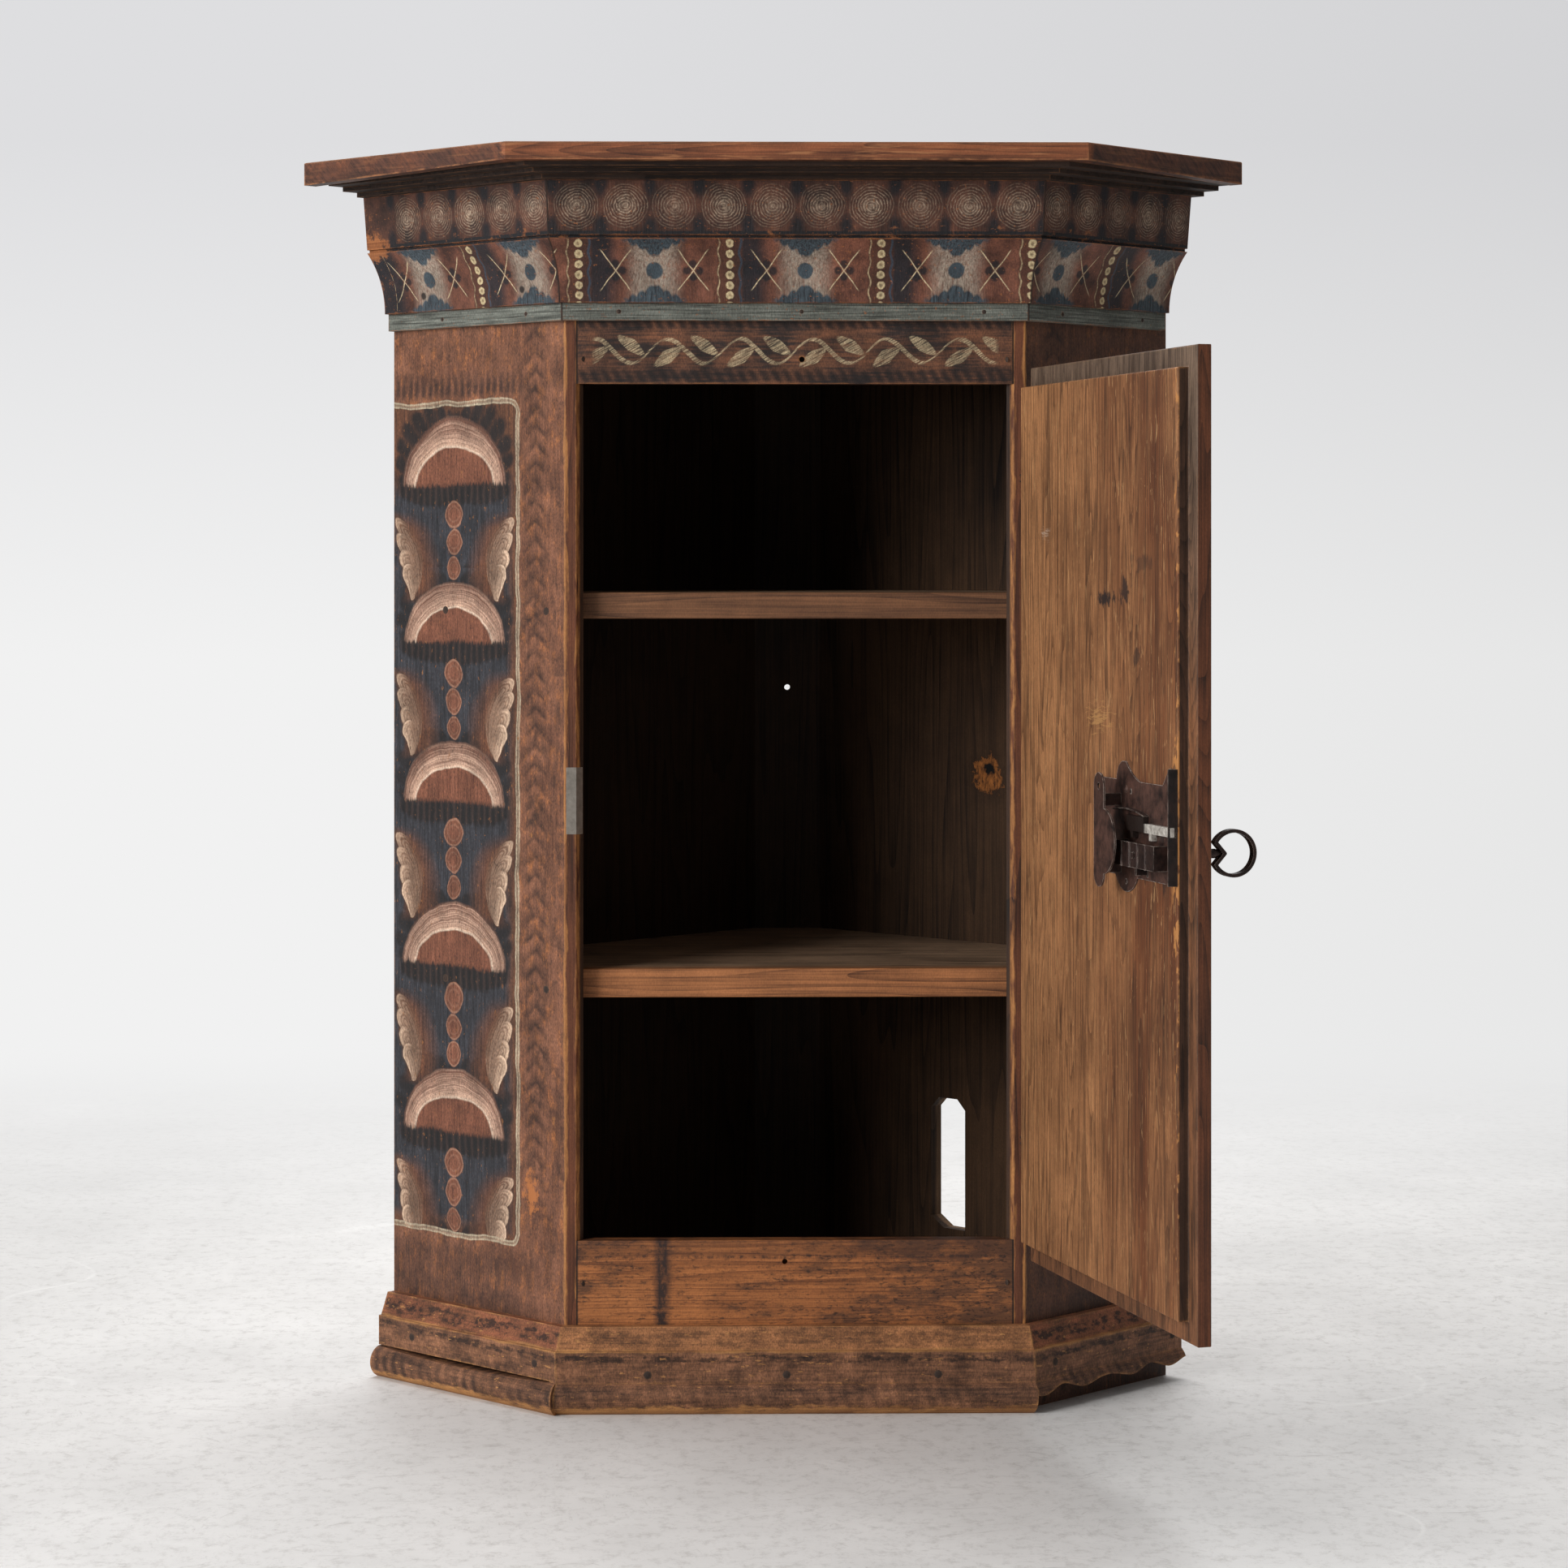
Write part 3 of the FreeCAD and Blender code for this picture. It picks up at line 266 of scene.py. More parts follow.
    # Chevron dabs down the margin, and dark strokes above and below the field
    off_line = apart(put, s, left - 21.0)
    dab = put("WRAP", put("MULTIPLY_ADD", off_line, 0.75, z), 15.0, 0.0)
    dab = put("MULTIPLY", put("MapRange", dab, 0.0, 3.0), put("MapRange", dab, 4.0, 12.0, 1.0, 0.0))
    dab = put("MULTIPLY", dab, put("MapRange", off_line, 8.0, 17.0, 0.85, 0.0))
    dab = put("MULTIPLY", dab, put("MapRange", mottle(put, place, (10.0, 10.0, 9.0), 5.0), 0.1, 0.9, 0.35, 1.0))
    dab = put("MULTIPLY", dab, put("MapRange", z, low + 10.0, low + 90.0, 0.15, 1.0))
    ground = put("Mix", dab, ground, "#2a1c17")
    comb = put("ABSOLUTE", put("SINE", put("MULTIPLY", s, math.pi / 8.0)))
    above = put("MULTIPLY", put("MapRange", z, high + 3, high + 8, 0.0, 0.75),
                put("MapRange", z, high + 28, high + 14))
    below = put("MapRange", z, low - 4, low - 14, 0.0, 0.8)
    dark_stroke = put("MULTIPLY", put("MAXIMUM", put("MULTIPLY", above, comb), put("MULTIPLY", below, streak)),
                      put("MapRange", s, left - 26.0, left + 14.0, 0.15, 1.0))
    ground = put("Mix", dark_stroke, ground, "#241b1a")

    # Border: a cream brush line round the field, pale at both its edges
    off_rim = put("ABSOLUTE", rim)
    colour = put("Mix", put("MapRange", rim, -1.5, 1.5, 1.0, 0.0), ground, inner)
    strands = put("MapRange", apart(put, off_rim, 1.5), 0.4, 1.1, 1.0, 0.0)
    line = put("MAXIMUM", strands, put("MapRange", off_rim, 2.2, 1.6, 0.0, 0.45))
    line = put("MULTIPLY", line, put("MapRange", streak, 0.0, 0.8, 0.45, 0.95))
    return put("Mix", line, colour, "#b5a68d"), streak


def painted_board(name, turn, origin, panel):
    """A board painted on its outer face. Returns what is needed to finish it."""
    material, shader, put = start_finish(name, 0.62, 0.3)
    place = set_out(put, turn, origin)
    colour, streak = combed_panel(put, place, **panel)
    wood, _ = pine(put, place, 2, "#a9703f", "#5b3419")
    chips = put("MapRange", mottle(put, place, (9.0, 9.0, 18.0), 6.0, 0.75), 0.84, 0.97, 0.0, 0.75)
    fine = mottle(put, place, (3.4, 3.4, 6.0), 3.0, 0.7)
    specks = put("MapRange", fine, 0.84, 1.0, 0.0, 0.5)
    colour = put("Mix", put("MapRange", fine, 0.25, 0.0, 0.0, 0.55), colour, "#2a1d19")
    worn = put("MAXIMUM", rubbed_edges(put, place, 3.0), put("MAXIMUM", chips, specks))
    return material, shader, put, place, put("Mix", worn, aged(put, colour, place), wood), streak


def finish_paint(put, shader, colour, height):
    """Links the colour, and a shallow relief of brush marks, to the shader."""
    bump = put("Bump", 0.35, 0.0004, None, height)
    shader.id_data.links.new(colour, shader.inputs["Base Color"])
    shader.id_data.links.new(bump, shader.inputs["Normal"])


PANEL_ROWS = (205.5, 132.5, 735.5)  # the lowest arch, the step and the highest arch
KNOCKED_PATCH = (40.0, 168.0, 13.0, 30.0)  # along, up, half width and half height
# The last value of each row darkens its board: painted shade on the right board, which faces away from the light
for word, turn, origin, centre, darkening in (("left", LEFT_TURN, LEFT_ARRIS, 134.0, "#ffffff"),
                                          ("right", RIGHT_TURN, RIGHT_ARRIS, 122.0, "#bbb8b6")):
    panel = dict(centre=centre, column=153.0, field=(56.0, 400.0, 125.0, 804.0), rows=PANEL_ROWS)
    finish, shader, put, place, colour, streak = painted_board("distemper_panel_" + word, turn, origin, panel)
    s, depth, z = axes(put, place)

    # Paint knocked off beside the foot of the border, and painted shade that darkens the whole of the right board,
    # on the side by the hinges
    flaking = put("MULTIPLY", mottle(put, place, (6.0, 6.0, 9.0), 6.0, 0.75), 1.5)
    knock = put("SUBTRACT", flaking, spot(put, s, z, *KNOCKED_PATCH))
    colour = put("Mix", put("MapRange", knock, 0.1, 0.5, 0.0, 0.8), colour, "#b06c3a")
    colour = put("Mix.MULTIPLY", 1.0, colour, darkening)

    # The square-cut front edge is dark, with orange wood showing along both of its arrises
    edge_wood, _ = pine(put, place, 2, "#6f4029", "#28160f")
    bare, _ = pine(put, place, 2, "#b27a45", "#7a4a28")
    ragged = put("MapRange", mottle(put, place, (3.0, 3.0, 22.0), 4.0), 0.0, 1.0, -1.4, 1.0)
    near_arris = put("MapRange", put("ADD", put("ABSOLUTE", s), ragged), 1.4, 0.4, 0.0, 0.85)
    near_opening = put("MapRange", put("ADD", s, ragged), 0.6 - STRIP_RUN, -0.6 - STRIP_RUN, 0.0, 0.9)
    colour = put("Mix", put("MapRange", s, -0.4, -0.9), colour, edge_wood)
    colour = put("Mix", put("MAXIMUM", near_arris, near_opening), colour, bare)
    # Inside the cabinet the board is dark old pine, coloured darker still as painted shade
    within, _ = pine(put, place, 2, "#412a1b", "#180f0a")
    inner_face = put("MapRange", put("ABSOLUTE", depth), BOARD_THICKNESS - 5, BOARD_THICKNESS - 3)
    finish_paint(put, shader, put("Mix", inner_face, colour, within), streak)
    dress(finish, "side_board_" + word)


# Back planks and rear corner board: rough-sawn pine, never painted, darkened by age.
# They butt against the side boards and are nailed to the shelves from behind.
# Inside they are dark old pine coloured darker still as painted shade, near black on the left, and one knot, half
# broken out, shows on the right.

KNOT, PLANK_MIDDLE, REAR_MIDDLE = (169.0, 216.0, 492.0), 394.0, 362.5
finish, shader, put = start_finish("aged_pine_back", 0.75, 0.2)
place = set_out(put)
wood, relief = pine(put, place, 2, "#45301f", "#170e09")
x, y, _ = axes(put, place)
# Painted shade: the planks towards the left, where the inside lies in shadow, are blended to near black
wood = put("Mix", put("MapRange", x, 130.0, 0.0, 0.0, 0.6), wood, "#0c0908")
from_knot = put("VectorMath.MULTIPLY", put("VectorMath.SUBTRACT", place, KNOT), (math.sqrt(2), 0, 1))
fibre = mottle(put, hand_drawn(put, place, 6.0, 14.0), (2.6, 2.6, 7.0), 5.0, 0.75)
broken = mottle(put, place, [8.0] * 3, 4.0, 0.7)
knot = put("MULTIPLY_ADD", broken, 13.0, put("VectorMath.LENGTH", from_knot))
wood = put("Mix", put("MapRange", knot, 32.0, 20.0, 0.0, 0.5), wood, "#1d120b")
wood = put("Mix", put("MapRange", knot, 22.5, 19.5, 0.0, 0.95), wood, put("Mix", fibre, "#2a170e", "#a5652f"))
# The broken-out hollow of the knot is coloured near black as painted shade
hollow = put("MULTIPLY_ADD", broken, 5.0, put("VectorMath.DISTANCE", from_knot, (2.0, 0, 5.0)))
wood = put("Mix", put("MapRange", hollow, 9.0, 6.5), wood, "#0a0705")
weathered, _ = pine(put, place, 2, "#7a5c42", "#33241a")
past_middle = put("MAXIMUM", put("SUBTRACT", put("ADD", put("ABSOLUTE", x), y), PLANK_MIDDLE),
                  put("SUBTRACT", y, REAR_MIDDLE))
wood = put("Mix", put("MapRange", past_middle, -2.0, 2.0), wood, weathered)
finish_paint(put, shader, wood, relief)
dress(finish, "back_plank_left_inner", "back_plank_left_outer", "back_plank_right_inner",
      "back_plank_right_outer", "rear_corner_board")


# Lintel: the board over the opening, red-brown with dark dabs and a running cream vine.
# The vine is a plain wave with a leaf in each bend, drawn with a dry comb brush.

OPENING_EDGE = 174.0


def dark_joint(put, x):
    """The dark line where a front board meets the edges of the side boards."""
    return put("MapRange", put("ABSOLUTE", x), OPENING_EDGE - 1.8, OPENING_EDGE - 0.8, 0.0, 0.95)


finish, shader, put = start_finish("distemper_lintel", 0.6, 0.3)
place = set_out(put)
vine_height, vine_step, vine_swing = 842.0, 58.0, 9.5
streak = mottle(put, place, (34.0, 2.0, 1.6), 3.0)
tone = put("MULTIPLY_ADD", streak, 0.6, put("MULTIPLY_ADD", mottle(put, place, [26.0] * 3), 0.8, -0.35))
colour = put("Mix", tone, "#2d2320", "#83543a")
x, _, z = axes(put, hand_drawn(put, place, 1.4, 18.0))
dabs = put("PINGPONG", put("MULTIPLY_ADD", z, 0.5, x), 4.5)
for height, reach in ((822.0, 6.0), (863.0, 4.0)):
    near = put("MapRange", apart(put, z, height), reach * 0.5, reach * 1.3, 0.85, 0.0)
    colour = put("Mix", put("MULTIPLY", put("MapRange", dabs, 1.0, 4.5, 1.0, 0.35), near), colour, "#1b1616")
wave = put("SINE", put("MULTIPLY", x, 2 * math.pi / vine_step))
off_vine = put("SUBTRACT", z, put("MULTIPLY_ADD", wave, vine_swing, vine_height))
falling = put("COSINE", put("MULTIPLY", x, 2 * math.pi / vine_step))
weight = put("MapRange", falling, -1.0, 0.4, 2.2, 0.5)
stem = put("MapRange", put("SUBTRACT", put("ABSOLUTE", off_vine), weight), 0.0, 0.8, 1.0, 0.0)
leaf = None
for start, side in ((vine_step * 0.25, -1), (vine_step * 0.75, 1)):
    along = put("WRAP", put("SUBTRACT", x, start), vine_step / 2, -vine_step / 2)
    up = put("SUBTRACT", z, vine_height + side * 4.5)
    point = put("VectorRotate", put("CombineXYZ", along, up, 0.0), (0, 0, 0), (0, 0, 1), side * 0.6)
    tip, belly, _ = axes(put, point)
    size = put("ADD", put("ABSOLUTE", put("DIVIDE", tip, 13.5)),
               put("POWER", put("ABSOLUTE", put("DIVIDE", belly, 5.4)), 2.0))
    leaf = size if leaf is None else put("MINIMUM", leaf, size)
leaf = put("MapRange", leaf, 1.0, 0.85)
bristle = mottle(put, put("VectorRotate", place, (0, 0, 0), (0, 1, 0), 0.5), (16.0, 1.0, 0.9), 2.0)
cream = put("MULTIPLY", put("MAXIMUM", stem, leaf), put("MapRange", bristle, 0.2, 0.8, 0.05, 0.8))
cream = put("MULTIPLY", cream, put("MapRange", put("ABSOLUTE", x), 158.0, 162.0, 1.0, 0.0))
colour = aged(put, put("Mix", cream, colour, "#c4b08c"), place)
wood, relief = pine(put, place, 0, "#9a6438", "#4a2a17")
colour = put("Mix", rubbed_edges(put, place, 3.0, 0.7), colour, wood)
finish_paint(put, shader, put("Mix", dark_joint(put, axes(put, place)[0]), colour, "#0d0908"), streak)
dress(finish, "lintel_board")


# Bottom rail: the bare pine board under the door, its paint long scrubbed off.
# Dark specks and stains have run into it, the door's lip has left a dark line along its top,
# and one upright stroke of the old paint is left.

LIP_MARK, STROKE_PLACE = 122.0, -106.0
finish, shader, put = start_finish("scrubbed_pine_rail", 0.55, 0.35)
place = set_out(put)
x, _, z = axes(put, hand_drawn(put, place, 2.0, 20.0))
wood, relief = pine(put, place, 0, "#ad6c3c", "#5a311a", 44.0)
specks = put("MapRange", mottle(put, place, (4.5, 3.0, 1.8), 3.0), 0.62, 0.9, 0.0, 0.8)
stain = mottle(put, place, (34.0, 20.0, 13.0), 7.0, 0.75)
stain = put("ADD", stain, put("MapRange", x, -40.0, 170.0, -0.1, 0.46))
stain = put("ADD", stain, put("MapRange", x, -130.0, -170.0, 0.0, 0.3))
wood = put("Mix", put("MapRange", stain, 0.5, 0.95, 0.0, 0.75), wood, "#3d291f")
wood = put("Mix", put("MULTIPLY", specks, put("MapRange", stain, 0.2, 0.8, 0.35, 1.0)), wood, "#2c1c14")
ragged = mottle(put, place, (7.0, 7.0, 11.0), 5.0, 0.7)
stroke = put("MapRange", apart(put, x, STROKE_PLACE), 2.5, 8.0, 0.95, 0.0)
stroke = put("MULTIPLY", stroke, put("MapRange", ragged, 0.1, 0.6, 0.35, 1.0))
lip = put("MapRange", apart(put, z, LIP_MARK), 0.4, 2.2, 0.8, 0.0)
lip = put("MULTIPLY", lip, put("MapRange", ragged, 0.35, 0.75))
above = put("MapRange", z, LIP_MARK - 1.5, LIP_MARK + 1.0, 0.0, 0.5)
wood = put("Mix", put("MULTIPLY", above, put("MapRange", stain, 0.1, 0.8, 0.4, 1.0)), wood, "#43291c")
wood = put("Mix", put("MAXIMUM", stroke, lip), wood, "#231a1a")
finish_paint(put, shader, put("Mix", dark_joint(put, axes(put, place)[0]), wood, "#0d0908"), relief)
dress(finish, "bottom_rail")


# Shelves and floor: bare pine boards, their front edges worn, dark further in.
# They lie between the side boards and are nailed through them. The upper one is the darker.

finish, shader, put = start_finish("worn_pine_shelf", 0.6, 0.3)
place = set_out(put)
edge_wood, relief = pine(put, place, 0, "#a86d43", "#4f2f1c", 24.0)
upper_shelf_wood, _ = pine(put, place, 0, "#7d5539", "#3f281b", 24.0)
deep_wood, _ = pine(put, place, 0, "#9a7d63", "#3a2b20")
_, inwards, height = axes(put, place)
# Above 600 mm, on the upper shelf, the wood of the front edge is coloured darker
edge_wood = put("Mix", put("MapRange", height, 400.0, 600.0), edge_wood, upper_shelf_wood)
wood = put("Mix", put("MapRange", inwards, 14.5, 34.0), edge_wood, deep_wood)
finish_paint(put, shader, wood, relief)
dress(finish, "upper_shelf", "lower_shelf", "floor_board")


# Top board and the stepped laths under it: thick pine boards stained dark red-brown.
# The upper arris is worn to paler wood, and the laths are coloured almost black.

finish, shader, put = start_finish("stained_pine_top", 0.58, 0.3)
place = set_out(put)
height = axes(put, place)[2]
wood, relief = pine(put, place, 0, "#9a5b3a", "#3a2219", 30.0)
on_edge = put("MapRange", height, 999.4, 998.4)
cant = put("MapRange", put("ABSOLUTE", axes(put, place)[0]), 228.0, 231.0)
cant = put("MULTIPLY", cant, on_edge)
dusty, _ = pine(put, place, 0, "#8a6248", "#46301f", 24.0)
wood = put("Mix", put("MapRange", on_edge, 0.0, 1.0, 0.75, 0.0), wood, dusty)
hatch = mottle(put, put("VectorRotate", place, (0, 0, 0), (0, 1, 0), 0.7), (2.4, 40.0, 14.0), 4.0, 0.7)
smutty = put("MapRange", mottle(put, place, [30.0] * 3, 7.0, 0.72), 0.0, 0.6, 0.45, 1.0)
wood = put("Mix", put("MULTIPLY", cant, smutty), wood, put("Mix", hatch, "#2b1d19", "#6a4333"))
streak = mottle(put, place, (60.0, 60.0, 2.4), 4.0)
wood = put("Mix", put("MULTIPLY", streak, put("MapRange", height, 998.0, 986.0, 0.1, 0.8)), wood, "#2b1c17")
worn = put("MAXIMUM", rubbed_edges(put, place, 4.0, 0.62),
           put("MULTIPLY", put("MapRange", mottle(put, place, (40.0, 40.0, 3.0), 5.0), 0.62, 0.95, 0.0, 0.75),
               put("MULTIPLY_ADD", cant, -0.75, on_edge)))
finish_paint(put, shader, put("Mix", worn, wood, "#a8714a"), relief)
dress(finish, "top_board")

finish, shader, put = start_finish("dark_pine_lath", 0.7, 0.2)
place = set_out(put)
wood, relief = pine(put, place, 0, "#3a2c25", "#120f0e")
finish_paint(put, shader, put("Mix", rubbed_edges(put, place, 1.5), wood, "#6e4a30"), relief)
dress(finish, "bed_moulding_front", "bed_moulding_left", "bed_moulding_right")


# Cornice: three mitred lengths of moulding. The frieze carries combed rosettes, the cavetto
# blue fans, crosses and rows of dots on red and white, and the fillet below is grey-green.
# All of it is brushed by hand in distemper.

COVE_FOOT, COVE_TOP, FRIEZE_FOOT = 880.0, 930.0, 932.0
ROSETTE_STEP, ROSETTE_HEIGHT, RING_STEP = 38.7, 954.5, 2.2
MITRE = math.radians(22.5)


def painted_cornice(name, turn, origin, rosette_start, motif_start, motif_step, ends, holes=()):
    """One length of the cornice. Places along it and its nail holes are in millimetres."""
    material, shader, put = start_finish(name, 0.6, 0.3)
    place = set_out(put, turn, origin)
    p, _, z = axes(put, hand_drawn(put, place, 1.1, 16.0))
    streak = mottle(put, place, (1.4, 1.4, 22.0), 3.0)
    cloud = mottle(put, place, [24.0] * 3)

    # Frieze: rosettes of fine broken rings on dark red, brightest in the middle, dark dabs between
    step = put("DIVIDE", put("SUBTRACT", p, rosette_start), ROSETTE_STEP)
    number = put("ROUND", step)
    off = put("MULTIPLY", put("SUBTRACT", step, number), ROSETTE_STEP)
    up = put("SUBTRACT", z, ROSETTE_HEIGHT)
    radius = put("VectorMath.LENGTH", put("CombineXYZ", off, up, 0.0))
    broken = mottle(put, place, (3.5, 3.5, 3.5), 4.0, 0.7)
    rings = put("MULTIPLY_ADD", broken, 0.9, put("MULTIPLY_ADD", cloud, 2.0, radius))
    rings = put("MapRange", put("PINGPONG", rings, RING_STEP / 2), RING_STEP * 0.2, RING_STEP * 0.45)
    rings = put("MULTIPLY", rings, put("MapRange", broken, 0.1, 0.8, 0.15, 1.0))
    strength = put("MapRange", put("SINE", put("MULTIPLY", number, 2.4)), -1.0, 1.0, 0.6, 1.0)
    fade = put("MULTIPLY", put("MapRange", radius, 3.0, 16.0, 1.0, 0.3), strength)
    haze = put("MULTIPLY", put("MapRange", radius, 0.0, 11.0, 0.62, 0.0), put("MULTIPLY", broken, strength))
    frieze = put("Mix", cloud, "#281915", "#5c392b")
    gap = put("CombineXYZ", put("SUBTRACT", ROSETTE_STEP / 2, put("ABSOLUTE", off)),
              put("MULTIPLY", put("SUBTRACT", put("ABSOLUTE", up), 17.0), 0.55), 0.0)
    frieze = put("Mix", put("MapRange", put("VectorMath.LENGTH", gap), 3.0, 7.0, 0.9, 0.0), frieze, "#15161b")
    light = put("MAXIMUM", put("MULTIPLY", rings, fade), haze)
    light = put("MULTIPLY", light, put("MapRange", put("ABSOLUTE", p), ends - 3.0, ends, 1.0, 0.0))
    frieze = put("Mix", put("MULTIPLY", put("MapRange", radius, 18.8, 17.8), light), frieze, "#bda78f")

    # Cavetto: the ground goes from blue-black through red to a pale glow in each repeat
    m = put("WRAP", put("SUBTRACT", p, motif_start), motif_step, 0.0)
    glow_off = apart(put, m, motif_step / 2)
    high = put("SUBTRACT", z, (COVE_FOOT + COVE_TOP) / 2)
    reach = put("ABSOLUTE", high)
    red = put("Mix", cloud, "#3f241b", "#80503e")
    night = put("MapRange", m, 20.0, 36.0, 0.92, 0.0, interpolation_type="SMOOTHSTEP")
    cove = put("Mix", night, red, "#191b21")
    glow = put("MapRange", glow_off, 9.0, 26.0, 1.0, 0.0, interpolation_type="SMOOTHSTEP")
    cove = put("Mix", put("MULTIPLY", glow, put("MapRange", streak, 0.0, 0.8, 0.3, 0.95)), cove, "#9d9081")

    # Blue half-flowers above and below the glow, and the blue spot in it
    petal = put("ABSOLUTE", put("SINE", put("MULTIPLY", glow_off, math.pi / 7.0)))
    fan_edge = put("MULTIPLY_ADD", put("POWER", put("DIVIDE", glow_off, 27.0), 0.7), 14.0, 11.0)
    fan_edge = put("SUBTRACT", fan_edge, put("MULTIPLY", petal, 2.6))
    fan = put("MULTIPLY", put("MapRange", put("SUBTRACT", reach, fan_edge), -1.0, 1.2, 0.0, 0.95),
              put("MapRange", glow_off, 21.0, 28.0, 1.0, 0.0))
    cove = put("Mix", fan, cove, put("Mix", streak, "#161f27", "#40515b"))
    blue_spot = put("VectorMath.LENGTH", put("CombineXYZ", glow_off, high, 0.0))
    cove = put("Mix", put("MapRange", blue_spot, 7.0, 5.8, 0.0, 0.95), cove,
               put("Mix", cloud, "#26323a", "#3c4d57"))

    # Crosses half way to the glow on both sides, on four dark dabs
    cross_off = apart(put, glow_off, 30.8)
    dabs = put("SUBTRACT", put("MAXIMUM", cross_off, reach), 5.0)
    dab = put("VectorMath.LENGTH", put("CombineXYZ", dabs, put("MINIMUM", cross_off, reach), 0.0))
    cove = put("Mix", put("MapRange", dab, 4.0, 2.4, 0.0, 0.85), cove, "#16171c")
    strokes = apart(put, cross_off, put("MULTIPLY", reach, 0.76))
    stroke = put("MULTIPLY", put("MapRange", strokes, 0.2, 0.8, 0.95, 0.0),
                 put("MapRange", reach, 14.0, 16.5, 1.0, 0.0))
    stroke = put("MULTIPLY", stroke, put("MapRange", broken, 0.1, 0.6, 0.4, 1.0))
    cove = put("Mix", stroke, cove, "#cbb894")

    # Band of dots between a pale and a blue wavering line
    band = put("WRAP", m, motif_step / 2, -motif_step / 2)
    past_end = put("MapRange", put("ABSOLUTE", p), ends + 20.0, ends + 22.0, 0.0, 40.0)
    band = put("SUBTRACT", band, past_end)
    on_band = put("MapRange", put("ABSOLUTE", band), 9.0, 11.0, 0.75, 0.0)
    cove = put("Mix", on_band, cove, "#4a2c20")
    ripple = put("MULTIPLY", put("SINE", put("MULTIPLY", z, 2 * math.pi / 15.0)), 0.8)
    pale_line = put("ABSOLUTE", put("ADD", put("ADD", band, 8.8), ripple))
    cove = put("Mix", put("MULTIPLY", put("MapRange", pale_line, 0.3, 0.9, 0.9, 0.0), broken), cove, "#c2ae88")
    blue_line = put("ABSOLUTE", put("ADD", put("ADD", band, -8.2), ripple))
    cove = put("Mix", put("MapRange", blue_line, 0.5, 1.3, 0.85, 0.0), cove, "#333f4c")
    dot_up = put("SUBTRACT", put("WRAP", put("SUBTRACT", z, COVE_FOOT + 1.5), 8.0, 0.0), 4.0)
    dot = put("VectorMath.LENGTH", put("CombineXYZ", band, dot_up, 0.0))
    dot = put("MULTIPLY_ADD", broken, 0.9, dot)
    cove = put("Mix", put("MapRange", dot, 3.9, 3.2), cove, "#bfac86")
    cove = put("Mix", put("MapRange", dot, 2.2, 1.2, 0.0, 0.7), cove, "#6a543c")

    # Fillet, quirk and the rubbed arrises
    brushed = mottle(put, place, (45.0, 1.3, 1.3), 4.0)
    fillet = put("Mix", brushed, "#33342f", "#7c7f76")
    height = axes(put, place)[2]
    colour = put("Mix", put("GREATER_THAN", height, COVE_FOOT - 0.2), fillet, cove)
    colour = put("Mix", put("GREATER_THAN", height, COVE_TOP - 0.5), colour, "#17171a")
    colour = put("Mix", put("GREATER_THAN", height, FRIEZE_FOOT + 3.0), colour, frieze)
    wood, _ = pine(put, place, 0, "#a2653a", "#6a3a1c")
    specks = put("MapRange", mottle(put, place, (3.0, 3.0, 2.0), 3.0), 0.88, 1.0, 0.0, 0.6)
    split = put("MapRange", apart(put, height, COVE_TOP + 4.0), 4.0, 16.0, 0.45, -0.4)
    split = put("ADD", split, put("MapRange", put("ABSOLUTE", p), ends + 1.0, ends + 26.0, -0.6, 0.3))
    split = put("MapRange", put("ADD", split, mottle(put, place, [12.0] * 3, 6.0, 0.7)), 0.6, 0.9, 0.0, 0.9)
    worn = put("MAXIMUM", put("MAXIMUM", rubbed_edges(put, place, 2.0, 0.62), specks), split)
    colour = put("Mix", worn, aged(put, colour, place, 0.8), wood)
    for along_hole, hole_height in holes:
        hole = put("VectorMath.DISTANCE", put("CombineXYZ", p, z, 0.0), (along_hole, hole_height, 0.0))
        colour = put("Mix", put("MapRange", hole, 3.6, 2.2, 0.0, 0.9), colour, "#120c0a")

    # The dark open joint at the mitre with the next length
    x, y, _ = axes(put, set_out(put))
    past_front = put("ADD", y, -MM * LEFT_ARRIS[1])
    past_corner = put("SUBTRACT", put("ABSOLUTE", x), MM * RIGHT_ARRIS[0])
    gap = put("ADD", put("MULTIPLY", past_corner, math.cos(MITRE)), put("MULTIPLY", past_front, math.sin(MITRE)))
    colour = put("Mix", put("MapRange", put("ABSOLUTE", gap), 0.5, 1.1, 0.85, 0.0), colour, "#0f0b0a")
    finish_paint(put, shader, colour, streak)
    return material


dress(painted_cornice("distemper_cornice_front", 0.0, (0, 0, 0), -173.0, -171.5, 119.5, 400.0), "cornice_front")
dress(painted_cornice("distemper_cornice_left", math.radians(45), LEFT_ARRIS, -2.0, -86.5, 122.5, 172.0,
                      ((-159.0, 892.9), (-38.9, 891.7))), "cornice_left")
dress(painted_cornice("distemper_cornice_right", RIGHT_TURN, RIGHT_ARRIS, 2.0, 84.0, 119.5, 205.0), "cornice_right")


# Base: three lengths of moulding round the foot, nailed on, the left one split along its length.
# Brown paint with dark dabs on the sloping band and faint comb strokes below, kicked bare
# along its edges.

SLOPE_FOOT, BASE_TOP = 50.0, 68.0


